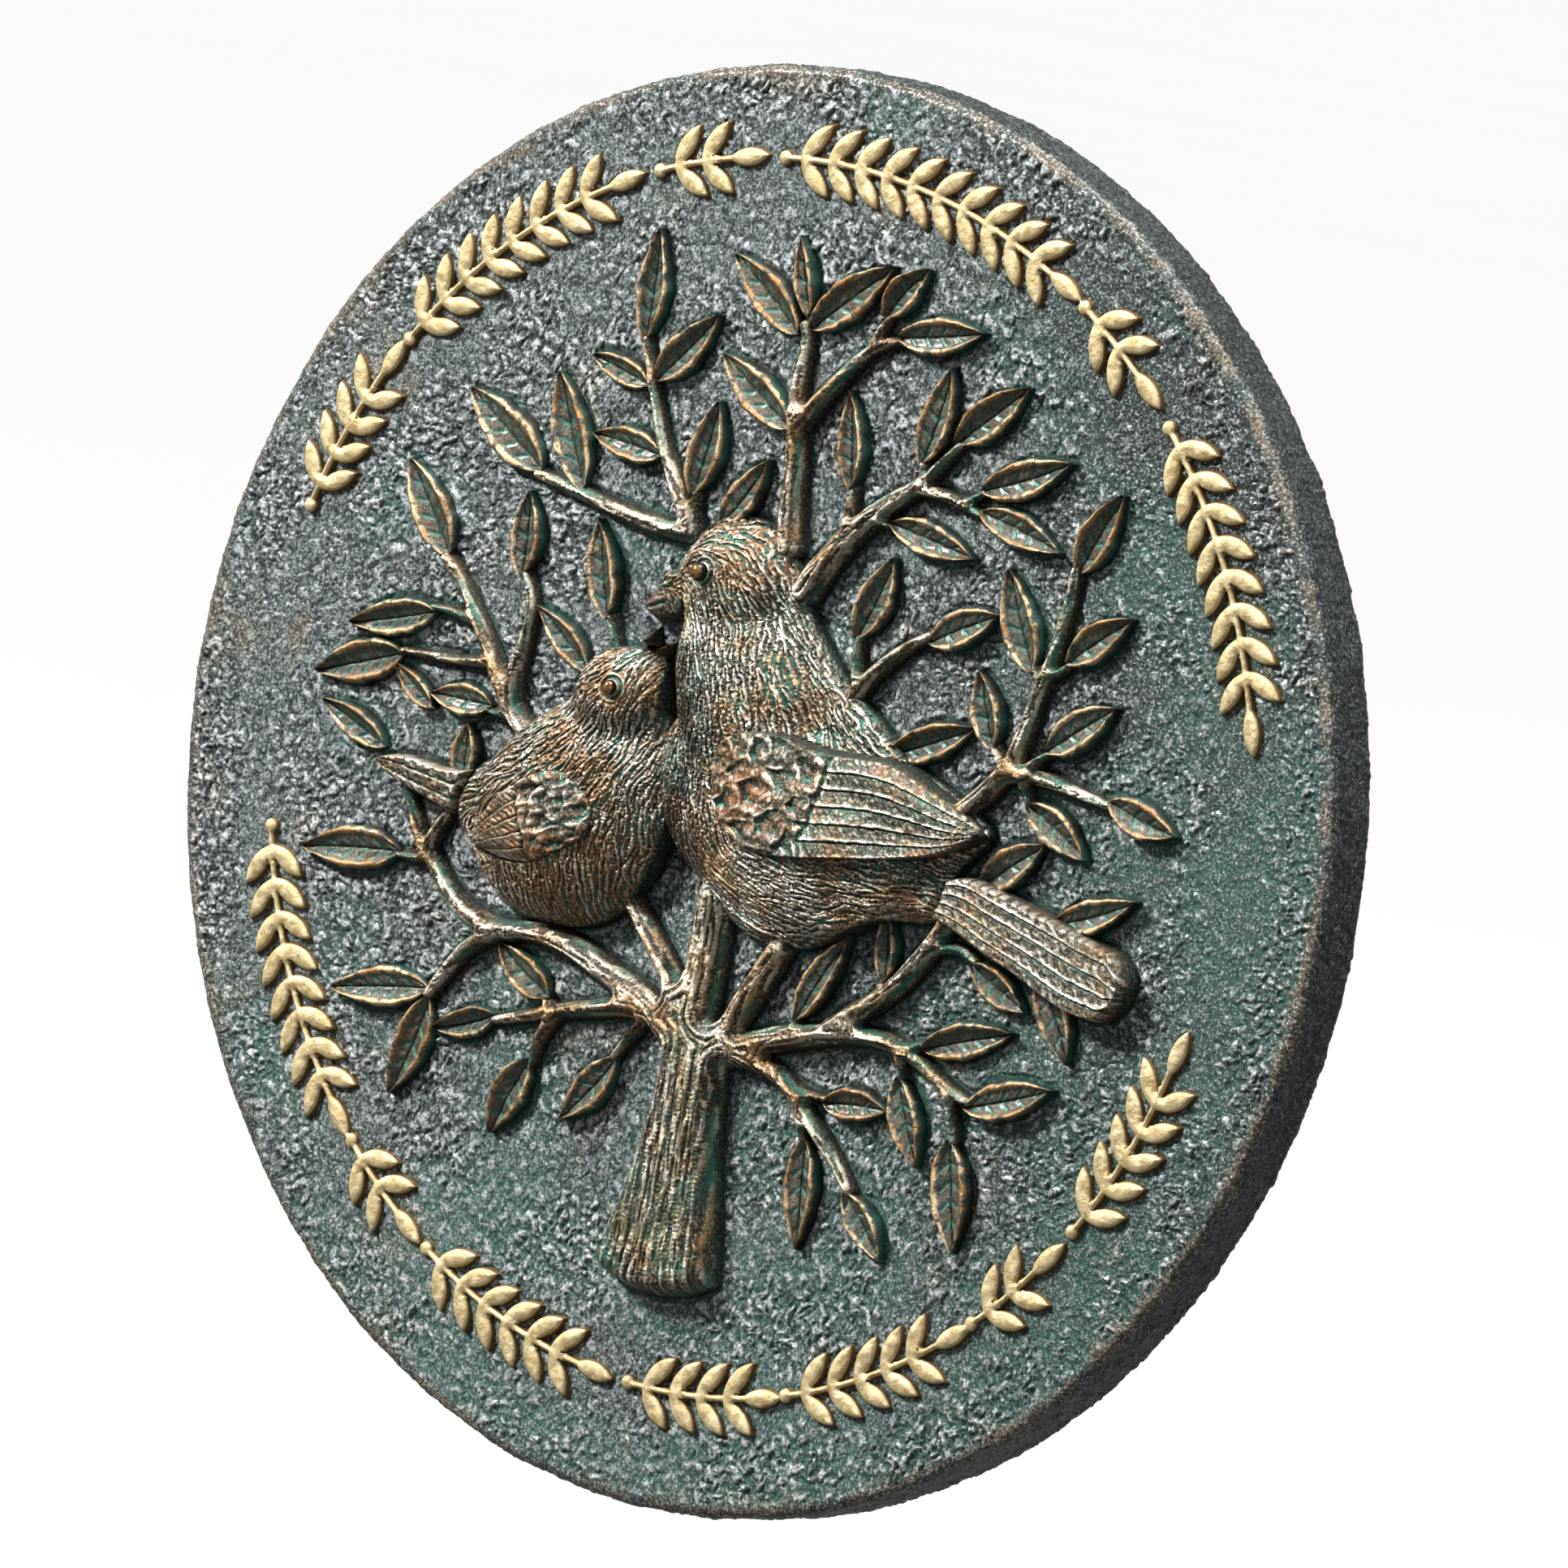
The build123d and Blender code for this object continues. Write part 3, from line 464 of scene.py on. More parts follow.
def patina(name, low, middle, brown, high, brown_share, metal, gloss, stops, coat, grain, glint_and_shade_specks):
    """Cast bronze colouring: verdigris in the hollows, dark bronze between, dry-brushed high points; painted
    shade where the dark guide is set, and fine specks of painted glint and painted shade.
    """
    s = Shader(name)
    uneven = s.times(s.minus(s.noise(0.7, 4), 0.5), 0.32)
    relief = s.plus(s.value("relief"), uneven)
    blotch = s.noise(9, 4, 0.62)
    fleck = s.noise(1.6, 5, 0.7)
    base = s.mix(s.band(fleck, 0.35, 0.68), low[0], low[1])
    base = s.mix(s.band(relief, stops[0] - 0.14, stops[0] + 0.10), base, middle)
    browned = s.times(s.band(s.plus(blotch, s.value("warm")), 0.62, 0.98), brown_share)
    base = s.mix(s.times(browned, s.band(relief, 0.12, 0.4)), base, brown)
    worn = s.times(s.band(relief, stops[1] - 0.12, stops[1] + 0.22), s.band(fleck, 0.22, 0.52))
    base = s.mix(worn, base, s.mix(s.band(blotch, 0.42, 0.62), high[0], high[1]))
    # Painted glints: pale specks of the high colour. Painted shade: near-black specks.
    speck = s.noise(0.52, 4, 0.75)
    base = s.mix(s.times(s.band(speck, 0.53, 0.62), glint_and_shade_specks), base, high[1])
    base = s.mix(s.times(s.band(speck, 0.47, 0.38), glint_and_shade_specks * 1.3), base, colour(10, 12, 10))
    # Painted shade: the dark guide blends the colour towards near-black
    base = s.mix(s.times(s.value("dark"), 0.86), base, colour(14, 15, 13))
    base = s.mix(s.value("verdigris"), base, TEAL)
    rough = s.plus(s.times(fleck, 0.28), s.minus(gloss, 0.14))
    metallic = s.plus(s.times(worn, 0.35), metal - 0.1)
    height = s.plus(s.noise(0.45, 5, 0.65), s.times(s.noise(0.16, 2), 0.4))
    return s.finish(base, rough, metallic, height, grain * 0.24, Specular_IOR_Level=0.55, Coat_Weight=coat,
                    Coat_Roughness=0.22)


ground_material = patina(
    "verdigris_ground", (GREEN_BLACK, TEAL_DEEP), colour(76, 92, 88), colour(116, 92, 62),
    (colour(156, 160, 166), colour(186, 188, 184)), brown_share=0.65, metal=0.5, gloss=0.36,
    stops=(0.36, 0.56), coat=0.3, grain=1.8, glint_and_shade_specks=0.85)
leaf_material = patina(
    "patina_leaf", (colour(10, 18, 16), colour(30, 84, 72)), colour(74, 82, 76), colour(98, 74, 44),
    (colour(212, 184, 142), colour(160, 122, 78)), brown_share=0.42, metal=0.7, gloss=0.32,
    stops=(0.18, 0.66), coat=0.25, grain=1.0, glint_and_shade_specks=0.6)
wood_material = patina(
    "bronzed_bark", (colour(12, 12, 10), colour(20, 54, 46)), colour(70, 60, 46), colour(114, 76, 34),
    (colour(218, 210, 192), colour(180, 150, 108)), brown_share=0.75, metal=0.6, gloss=0.32,
    stops=(0.22, 0.52), coat=0.25, grain=1.0, glint_and_shade_specks=0.65)
bird_material = patina(
    "bronzed_plumage", (colour(8, 12, 10), colour(26, 80, 68)), colour(62, 58, 46), colour(134, 80, 30),
    (colour(218, 213, 202), colour(176, 158, 130)), brown_share=0.85, metal=0.7, gloss=0.34,
    stops=(0.28, 0.60), coat=0.15, grain=0.9, glint_and_shade_specks=0.65)


def gilt_material():
    """Matt pale gold paint over the raised ornament, thin at its edges where the bronze shows."""
    s = Shader("gilt_paint")
    streak = s.noise(2.2, 4, 0.6)
    base = s.mix(s.band(streak, 0.35, 0.65), colour(174, 152, 102), colour(208, 191, 148))
    base = s.mix(s.band(s.value("relief"), 0.75, 0.15), base, colour(92, 66, 30))
    chips = s.times(s.band(s.noise(0.9, 5, 0.7), 0.66, 0.74), 0.6)
    base = s.mix(chips, base, colour(120, 96, 58))
    rough = s.plus(s.times(streak, 0.2), 0.34)
    return s.finish(base, rough, 0.45, s.noise(0.7, 5, 0.7), 0.22, Specular_IOR_Level=0.5)


def steel_material():
    """Zinc-plated steel with fine rolling lines."""
    s = Shader("zinc_steel")
    lines = s.noise(1.2, 4, 0.6, stretch=(0.08, 1, 1.4))
    base = s.mix(lines, colour(140, 142, 144), colour(190, 190, 186))
    return s.finish(base, s.plus(s.times(lines, 0.25), 0.25), 0.95, lines, 0.03)


def back_material():
    """The plain cast back: dark grey-green resin stone with fine pores."""
    s = Shader("cast_back")
    base = s.mix(s.noise(14, 5, 0.6), colour(44, 50, 48), colour(70, 78, 74))
    pores = s.band(s.noise(1.1, 3, 0.6), 0.62, 0.72)
    base = s.mix(s.times(pores, 0.6), base, colour(24, 27, 26))
    height = s.minus(s.noise(2.4, 5, 0.6), s.times(pores, 0.5))
    return s.finish(base, 0.62, 0.0, height, 0.25, Specular_IOR_Level=0.4)


# ---- Wood: trunk, stubs and boughs are one joined relief, divided among the CAD parts
# No place in the wood is further than this from its outline
TRUNK_REACH = 13.0
wood_loops = [resampled(outlines(name, 0), 0.8) for name in WOOD]
wood_grid = Grid((-84, -94), (86, 90), 0.26)
wood_distance, wood_owner = wood_grid.distance(wood_loops, TRUNK_REACH)

# The wood's half width near each place
inner = np.maximum(wood_distance, 0)
half_width = inner.copy()
for _ in range(14):
    for axis, shift in NEIGHBOURS:
        near = np.roll(half_width, shift, axis)
        half_width = np.where(inner > 0, np.maximum(half_width, near), 0)
weight = blurred((inner > 0).astype(float), 6)
half_width = np.where(inner > 0, blurred(half_width, 6) / np.maximum(weight, 1e-6), 0)
half_width = np.maximum(half_width, np.maximum(inner, 0.5))

# The grain follows the outlines, and runs straight down the trunk
slope_x, slope_z = np.gradient(blurred(wood_distance, 2))
grain_angle = np.arctan2(slope_x, -slope_z)
wooded = wood_distance > -SKIRT - 0.6
on_trunk = ease(half_width, 3.6, 6.5)
upright = np.arctan2(8.0 - wood_grid.z, 0.2 - wood_grid.x)
upright = upright + 0.10 * wood_grid.noise(9, 15)
straight = ease(wood_grid.z, -44, -50) * ease(np.abs(wood_grid.x), 22, 19)
agree = np.sign(np.cos(grain_angle - upright) + 1e-9)
grain_angle = np.arctan2(agree * np.sin(grain_angle) * (1 - straight) + np.sin(upright) * straight,
                         agree * np.cos(grain_angle) * (1 - straight) + np.cos(upright) * straight)

# The rounded height, with furrows along the grain and knots
full_height = 1.9 + 1.9 * ease(half_width, 0.9, 3.0) + 1.3 * on_trunk
round_width = half_width * (1 - 0.5 * on_trunk)
wood_top = shoulder(wood_distance, round_width, full_height)
bark = wood_grid.streaks(wooded, grain_angle, 0.50, 7.0, 11)
broad_bark = wood_grid.streaks(wooded, grain_angle, 1.1, 16.0, 12)
depth = ease(wood_distance, 0.0, 0.7)
fine_bark = wood_grid.streaks(wooded, grain_angle, 0.75, 5.0, 16)
furrows = 0.14 * np.tanh(1.6 * bark) + 0.15 * np.tanh(1.5 * fine_bark)
furrows = furrows + (0.14 + 0.04 * on_trunk) * np.tanh(1.4 * broad_bark)
knots = wood_grid.noise(5.5, 13)
wood_top = wood_top + depth * (furrows + 0.3 * knots)

# Colour guides: pale crests, green in some furrows and along the edges, painted shade on the edge walls, and
# a painted pool of light round the fork below the birds
crest = ease(wood_distance / half_width, 0.15, 0.85)
wood_relief = 0.33 + 1.6 * (furrows - blurred(furrows, 4)) + 0.9 * furrows + 0.26 * crest + 0.06 * knots
# Painted light: a pale patch round the fork below the birds, lifting the shadow the birds cast there
painted_light_patch = patch(wood_grid.x, wood_grid.z, (-2, -36), 18)
wood_relief = np.clip(wood_relief + 0.05 + 0.14 * painted_light_patch - 0.20 * on_trunk, 0, 1)
wood_relief = wood_relief * ease(wood_distance, -0.1, 0.7)
lining = bump(wood_distance, 0.85, 0.3) * ease(wood_grid.noise(8, 17), -0.25, 0.25)
lining = lining + ease(bark, 0.7, 1.5) * on_trunk * ease(wood_grid.noise(10, 18), -0.2, 0.3)
foot = on_trunk * ease(wood_grid.z, -52, -70) * ease(wood_grid.noise(6, 19), -0.4, 0.3)
lining = lining + 0.35 * foot
wood_squares = whole_squares(wood_distance > -SKIRT)
wood_values = {
    "relief": wood_relief,
    "warm": 0.22 + 0.2 * wood_grid.noise(8, 14) + 0.04 * on_trunk,
    # Painted shade on the wood's edge walls
    "dark": 0.8 * ease(wood_distance, 0.6, 0.0),
    "verdigris": 0.75 * np.clip(lining, 0, 1),
}
for number, name in enumerate(WOOD):
    squares = wood_squares & (wood_owner == number)
    piece = relief_piece(name + "_cast", wood_grid, squares, wood_top, SUNK_BASE, wood_material, wood_values)
    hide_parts(name)
    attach(piece, "root")


# ---- Leaves: a raised rim, a sunk blade, a midrib and side veins
# Across half a leaf: share of the half width, share of the height, and colour guide
HALF_LEAF = np.array([
    [0.00, 0.34, 0.00], [0.04, 0.44, 0.04], [0.09, 0.53, 0.30], [0.18, 0.58, 0.38], [0.28, 0.62, 0.40],
    [0.38, 0.67, 0.40], [0.48, 0.73, 0.42], [0.55, 0.80, 0.56], [0.61, 0.90, 0.78], [0.67, 1.00, 0.94],
    [0.73, 1.06, 1.00], [0.80, 1.07, 1.00], [0.87, 1.01, 0.94], [0.93, 0.85, 0.74], [0.98, 0.56, 0.38],
    [1.02, 0.20, 0.10], [1.06, -0.35, 0.00],
])
WHOLE_LEAF = np.concatenate([HALF_LEAF[::-1] * (-1, 1, 1), HALF_LEAF[1:]])
LEAF_ROWS = 84
VEIN_SPACING = 3.4


def leaf_axis(loop):
    """Where a leaf's outline starts at its stalk, and its tip; it is fuller near the stalk."""
    gaps = np.hypot(*(loop[:, None] - loop[None]).transpose(2, 0, 1))
    a, b = np.unravel_index(gaps.argmax(), gaps.shape)
    after = np.roll(loop, -1, axis=0)
    cross = loop[:, 0] * after[:, 1] - after[:, 0] * loop[:, 1]
    centre = ((loop + after) * cross[:, None]).sum(axis=0) / (3 * cross.sum())
    ends = sorted((loop[a], loop[b]), key=lambda end: math.hypot(*(end - centre)))
    return ends[0], ends[1], abs(cross.sum()) / 2


def leaf(loop, random):
    """One leaf over a CAD leaf's outline: its rows of points (x, z, h) and their colour guides."""
    base, tip, area = leaf_axis(loop)
    length = math.hypot(*(tip - base))
    along = (tip - base) / length
    across = np.array([-along[1], along[0]])
    base = base - along * 0.9
    length += 1.1
    half = area / length * 0.80
    u = np.concatenate([[-0.012], np.linspace(0, 1, LEAF_ROWS), [1.012]])
    inner_u = np.clip(u, 0, 1)
    swell = (np.maximum(inner_u, 1e-4) ** 0.75) * (1 - inner_u) / 0.303
    widths = np.maximum(half * swell, 0.14 + 0.1 * ease(inner_u, 0.3, 0.0))
    bend = random.uniform(-0.5, 0.5) * np.sin(math.pi * inner_u) + random.uniform(-0.3, 0.3) * inner_u ** 2
    tilt = random.uniform(-0.25, 0.25)
    crown = 2.0 * (0.80 + 0.26 * np.sin(math.pi * np.clip(inner_u * 0.92 + 0.05, 0, 1)))
    sides, heights, values = WHOLE_LEAF.T
    aside = np.abs(sides)
    wave = np.sin(u * length * 0.7 + random.uniform(0, 6)) + np.sin(u * length * 1.5 + random.uniform(0, 6))
    ragged = 1 + 0.03 * wave[:, None] * ease(aside, 0.4, 0.9)
    offset = widths[:, None] * sides * ragged + bend[:, None]
    spots = base + along * (u * length)[:, None]
    x = spots[:, None, 0] + across[0] * offset
    z = spots[:, None, 1] + across[1] * offset
    h = crown[:, None] * heights * (1 + tilt * sides * ease(aside, 0, 0.6))
    pitch = VEIN_SPACING / length
    phase = (u[:, None] - 0.17 * aside) / pitch + random.uniform(0, 1)
    on_blade = ease(aside, 0.03, 0.12) * ease(aside, 0.60, 0.48) * ease(widths, 1.0, 1.8)[:, None]
    vein = bump(phase - np.round(phase), 0, 0.085) * on_blade
    h = h - 0.34 * vein + 0.16 * noise(x, z, 2.6, 32)
    h[[0, -1]] = np.minimum(h[[0, -1]], -0.5)
    relief = values * (1 - 0.95 * vein)
    rim_fade = ease(widths, 0.2, 0.9)[:, None]
    relief = relief * rim_fade + 0.75 * (1 - rim_fade) * (heights > 0.9)
    # Painted sheen: pale patches across the blade
    relief = relief + 0.30 * on_blade * (1 - vein) * noise(x, z, 3.2, 34)
    relief = relief - 0.45 * ease(noise(x, z, 1.5, 36), -0.1, 0.5) * ease(aside, 0.5, 0.7)
    # Painted shade: dark patches across the blade; the edge walls are darkened, partly as unbrushed bronze
    # and partly as painted shade
    shade = ease(noise(x, z, 5, 31), -0.45, 0.35)
    dark = 0.9 * ease(aside, 0.92, 1.0) + 0.45 * shade * on_blade * (1 - vein)
    outer = bump(aside, 0.99, 0.05) * ease(noise(x, z, 9, 35), -0.3, 0.2)
    return x, z, h, relief, dark, np.clip(0.9 * vein + 0.5 * outer, 0, 1)


def leaf_faces(number):
    """A leaf's upper side and flat underside, from its rows of point numbers."""
    under = np.stack([number[:-1, 0], number[:-1, -1], number[1:, -1], number[1:, 0]], axis=-1)
    return np.concatenate([grid_faces(number), under])


leaf_loops = {name: outlines(name, 0) for name in LEAVES}
for name, loops in leaf_loops.items():
    random = np.random.default_rng(sum(map(ord, name)))
    leaves = [leaf(loop, random) for loop in loops if len(loop) >= 8]
    x, z, h, *numbers = map(np.array, zip(*leaves))
    points = place(x, z, h).reshape(-1, 3)
    values = dict(zip(("relief", "dark", "verdigris"), numbers))
    values["warm"] = 0.22 + 0.3 * noise(points[:, 0] * 1000, points[:, 2] * 1000, 11, 33)
    sheets = np.arange(x.size).reshape(x.shape)
    caps = np.concatenate([(sheet[0], sheet[-1, ::-1]) for sheet in sheets])
    faces = [np.concatenate([leaf_faces(sheet) for sheet in sheets]), caps]
    piece = make_object(name + "_cast", points, faces, leaf_material, values)
    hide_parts(name)
    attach(piece, "root")


# ---- Birds
bird_grid = Grid((-84, -34), (95, 51), 0.2)
over = bird_grid.x, bird_grid.z


def turned(x, z, centre, degrees):
    """Coordinates along and across a direction, from a centre."""
    c, s = math.cos(math.radians(degrees)), math.sin(math.radians(degrees))
    return (x - centre[0]) * c + (z - centre[1]) * s, -(x - centre[0]) * s + (z - centre[1]) * c


def dome(centre, semi_axes, degrees):
    """Height of an ellipsoid that is centred on the ground."""
    u, v = turned(*over, centre, degrees)
    left = 1 - (u / semi_axes[0]) ** 2 - (v / semi_axes[1]) ** 2
    return semi_axes[2] * np.sqrt(np.maximum(left, 0))


def flow(hints):
    """A direction everywhere, in radians, from a few placed directions in degrees."""
    east, north = 0, 0
    for x, z, degrees in hints:
        weight = 1 / ((over[0] - x) ** 2 + (over[1] - z) ** 2 + 6) ** 1.5
        east = east + weight * math.cos(math.radians(degrees))
        north = north + weight * math.sin(math.radians(degrees))
    return np.arctan2(north, east)


def largest(loops):
    return max(loops, key=lambda loop: np.ptp(loop[:, 0]) * np.ptp(loop[:, 1]))


def part_distance(loop):
    """Distance to a bird part's outline over the birds' grid, positive inside."""
    return bird_grid.distance([resampled([loop], 1.0)], 16.0)[0]


def plumage(where, angle, seed):
    """Short overlapping feather strokes along a direction."""
    wander = 0.40 * bird_grid.noise(4.0, seed + 2) + 0.35 * bird_grid.noise(1.8, seed + 3)
    fine = bird_grid.streaks(where, angle + wander, 0.40, 2.0, seed)
    broad = bird_grid.streaks(where, angle + wander, 0.66, 3.0, seed + 1)
    return 0.20 * np.tanh(2.2 * fine) + 0.14 * np.tanh(2.0 * broad)


def share_across(u, v, mask):
    """How far across a long part each place is, from 0 at its low edge to 1 at its high edge."""
    bins = np.round(u / 0.8).astype(int)
    first = bins[mask].min()
    size = bins[mask].max() - first + 1
    low, high = np.full(size, 1e3), np.full(size, -1e3)
    np.minimum.at(low, bins[mask] - first, v[mask])
    np.maximum.at(high, bins[mask] - first, v[mask])
    kept = high > low
    centres = (np.arange(size) + first)[kept] * 0.8
    low, high = np.interp(u, centres, low[kept]), np.interp(u, centres, high[kept])
    return np.clip((v - low) / np.maximum(high - low, 0.3), 0, 1)


def flight_feathers(u, v, share, count, spacing, depth):
    """Overlapping feathers, each with a ridge along its low edge and slanting cuts above it."""
    part = share * count - np.floor(share * count)
    barbs = (u + 0.9 * v) / spacing + 0.35 * noise(u, v, 2.5, 43)
    cuts = bump(barbs - np.round(barbs), 0, 0.12) * ease(part, 0.20, 0.34) * ease(part, 0.98, 0.86)
    body = ease(part, 0.0, 0.09) * (0.58 - 0.24 * part) + 0.05 * bump(part, 0.14, 0.07)
    return body - depth * cuts + 0.14 * noise(u, v * 2, 1.6, 44) - 0.30 * ease(part, 0.90, 1.0)


def scallops(u, v, start, end, low, high, size, seed):
    """Rows of rounded overlapping feather tips, the ones nearer the head on top."""
    random = np.random.default_rng(seed)
    height = np.zeros_like(u)
    spots = []
    for column, u0 in enumerate(np.arange(end, start - size, -size * 0.72)):
        for v0 in np.arange(low, high + size, size * 0.95):
            shift = random.uniform(-0.2, 0.2, 2) * size
            spots.append((u0 + shift[0], v0 + (column % 2) * size * 0.48 + shift[1]))
    for u0, v0 in spots:
        a, b = (u - u0) / (size * random.uniform(0.8, 1.15)), (v - v0) / (size * random.uniform(0.62, 0.88))
        radius = np.sqrt(np.where(a > 0, a * a, a * a * 0.35) + b * b)
        shape = 0.05 + 0.72 * ease(radius, 0.10, 0.80) * (a > -0.4)
        shape = shape + 0.10 * np.sin(11 * b + 3 * a) * (radius < 0.9)
        edge = ease(radius, 1.0, 0.9)
        height = np.where(radius < 1, height * (1 - edge) + shape * edge, height)
    return height + 0.24 * noise(u, v, 2.2, seed + 2) + 0.13 * noise(u, v, 1.0, seed + 3)


def eye_socket(node, radius):
    """Rings round an eye, and how near each place is to it."""
    low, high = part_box(node)
    centre = (low[0] + high[0]) * 500, (low[2] + high[2]) * 500
    gap = np.hypot(over[0] - centre[0], over[1] - centre[1])
    lids = 0.50 * bump(gap, radius - 0.1, 0.34) + 0.10 * bump(gap, radius + 1.0, 0.24)
    grooves = 0.55 * bump(gap, radius + 0.45, 0.32) + 0.15 * bump(gap, radius + 1.4, 0.25)
    return lids - grooves, ease(gap, radius + 1.9, radius + 0.9)


class Bird:
    """A bird's body: its outline, its domes for head, breast and back, and its feather strokes."""

    def __init__(self, name, eye_radius, seed, rolling, brow, domes, hints):
        self.loop = largest(section(name + "_body", BODY_CUT))
        self.distance = part_distance(self.loop)
        self.strokes = plumage(self.distance > -SKIRT - 0.5, flow(hints), seed)
        rings, near = eye_socket(name + "_eye", eye_radius)
        self.detail = self.strokes * (1 - 0.8 * near) + rings + brow
        top = shoulder(self.distance, 3.4, 4.6)
        for rise in domes:
            blend = smooth_max(top, rise, 1.6) - 0.35 * ease(self.distance, 0, 1)
            top = np.where(self.distance > 0, blend, top)
        self.top = top + ease(self.distance, 0, 0.8) * (self.detail + rolling)


brow_u, brow_v = turned(*over, (-9.5, 40.4), 12)
large = Bird(
    "large_bird", eye_radius=1.7, seed=51, rolling=0.5 * noise(*over, 7, 55),
    brow=0.5 * bump(brow_v, 0, 1.1) * bump(brow_u, 0, 5.0),
    domes=[
        dome((-6.2, 34.8), (12.4, 11.4, 10.6), -20),
        dome((1.5, 14.0), (25.0, 15.2, 12.0), -62),
        dome((13.0, -3.5), (33.0, 18.0, 11.8), -14),
    ],
    hints=[
        (-17, 37, 70), (-15, 42, 40), (-6, 45, -5), (3, 41, -48), (10, 32, -55), (20, 22, -42), (35, 12, -28),
        (-12, 31, -55), (-5, 34, -62), (-15, 25, -88), (-12, 12, -90), (-11, 0, -86), (-7, -11, -68),
        (3, -20, -32), (15, -23, -2), (28, -19, 12), (42, -13, 10), (0, 26, -72), (4, 16, -72), (1, 4, -84),
        (20, -14, -6), (36, -11, -4), (50, -8, -14),
    ])
small = Bird(
    "small_bird", eye_radius=1.4, seed=61, rolling=0.4 * noise(*over, 6, 65), brow=0.0,
    domes=[
        dome((-27.4, 11.8), (10.4, 9.4, 9.2), 20),
        dome((-33.5, -9.5), (24.0, 19.5, 10.4), 25),
    ],
    hints=[
        (-30, 19, 190), (-35, 15, 215), (-26, 18, 250), (-21, 17, 262), (-18, 9, 268), (-14, -4, 268),
        (-16, -16, 262), (-22, -25, 264), (-32, -28, 278), (-43, -27, 292), (-53, -21, 306), (-24, 7, 255),
        (-32, 6, 235), (-40, 6, 218), (-49, -2, 205), (-57, -9, 200), (-28, -2, 245), (-30, -22, 274),
    ])


def bird_piece(node, distance, top, detail, warm, pale, base=SUNK_BASE, trim=True, edge=0.9, shade=0.0):
    """A bird's part, coloured by its fine relief: stroke tops are pale and grooves are dark; painted shade
    darkens the edges and wherever shade is given.
    """
    kept = (distance > -SKIRT) & trim
    local = detail - blurred(detail, 3)
    relief = np.clip(0.36 + 2.6 * local + pale, 0, 1) * ease(distance, -0.1, edge)
    green = 0.8 * ease(local, -0.10, -0.22) * ease(noise(*over, 5, 57), -0.1, 0.35) * ease(distance, 0.0, 0.5)
    # Painted shade on the part's edge walls, plus the shade given
    dark = np.clip(0.85 * ease(distance, 0.5 * edge, -0.2) + shade, 0, 1)
    values = {"relief": relief, "warm": warm, "dark": dark, "verdigris": green}
    piece = relief_piece(node + "_cast", bird_grid, whole_squares(kept), top, base, bird_material, values)
    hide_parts(node)
    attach(piece, "root")


def feathered(node, height, heading):
    """A long part's distance map, each place's position along and across it, and its share of the width."""
    distance = part_distance(largest(outlines(node, height)))
    u, v = turned(*over, (0, 0), heading)
    return distance, u, v, share_across(u, v, distance > 0)


def wing(node, body_top, heading, primary_start, count, heights, scallop_size, seed):
    """A wing's distance map, height and pattern: coverts at the shoulder, then long feathers to the tip."""
    distance, u, v, share = feathered(node, WING_SEAT, heading)
    inside = distance > 0
    u0, u1 = u[inside].min(), u[inside].max()
    run = (u - u0) / (u1 - u0)
    sloped = heights[0] + (heights[1] - heights[0]) * run
    level = smooth_max(blurred(body_top, 4), sloped, 0.8)
    level = level - 1.8 * ease(distance, 3.4, 0.0) * ease(run, 0.3, 0.7) * ease(share, 0.5, 0.9)
    lift = -0.1 + 1.35 * ease(run, 0.14, 0.75) + 0.6 * ease(share, 0.3, 0.0) * ease(run, 0.1, 0.4)
    feathers = flight_feathers(u, v, share, count, 1.5, 0.28)
    coverts = scallops(u, v, u0, u0 + primary_start, v[inside].min(), v[inside].max(), scallop_size, seed)
    border = u - u0 - primary_start + 1.4 * noise(*over, 4, seed + 1)
    blend = ease(border, 0.8, -0.4)
    pattern = feathers * (1 - blend) + coverts * blend - 0.45 * bump(border, 0.5, 0.5)
    ended = ease(distance, 0, 0.45)
    top = np.where(inside, level + (lift + pattern) * ended, level + 3.0 * distance - 0.2)
    return distance, top, pattern


large_wing = wing("large_bird_wing", large.top, -3, 22.0, 6, (11.6, 3.6), 6.8, 71)
small_wing = wing("small_bird_wing", small.top, 203, 15.0, 5, (8.6, 4.6), 5.2, 81)
for bird, (distance, top, _) in ((large, large_wing), (small, small_wing)):
    bird.top = np.where(distance > 0.1, np.minimum(bird.top, top - 0.7), bird.top)


# Where the birds are browner, and where their high points are paler
warm_large = (0.16 + 0.34 * bump(over[1], 46, 7) * (over[0] < 8) + 0.36 * patch(*over, (2, -6), 9)
              + 0.14 * bump(over[1], -17, 7) + 0.2 * noise(*over, 9, 56))
warm_small = (0.26 + 0.3 * bump(over[1], -22, 9) + 0.3 * patch(*over, (-33, 17), 6)
              + 0.2 * noise(*over, 8, 66))
pale_large = (0.05 + 0.16 * patch(*over, (-12, 31), 5) + 0.12 * patch(*over, (8, 9), 11)
              - 0.10 * ease(over[1], 33, 44) - 0.30 * bump(over[0], -12, 7) * ease(over[1], 26, 18)
              + 0.34 * bump(over[1], -17, 6) * (over[0] > -4))
pale_small = 0.07 + 0.14 * patch(*over, (-27, 9), 5) - 0.10 * ease(over[1], -10, -24)
breast = bump(over[0], -7, 6.5) * ease(over[1], 28, 18)
bird_piece("large_bird_body", large.distance, large.top, large.detail, warm_large, pale_large,
           trim=small.distance < 0.2, shade=0.48 * breast)
bird_piece("small_bird_body", small.distance, small.top, small.detail, warm_small, pale_small)
bird_piece("large_bird_wing", *large_wing, warm_large, 0.06 - 0.10 * ease(over[0], 12, 18), base=WING_BASE,
           edge=0.4)
bird_piece("small_bird_wing", *small_wing, warm_small, 0.24 * ease(over[0], -33, -42) - 0.04, base=WING_BASE,
           edge=0.4)

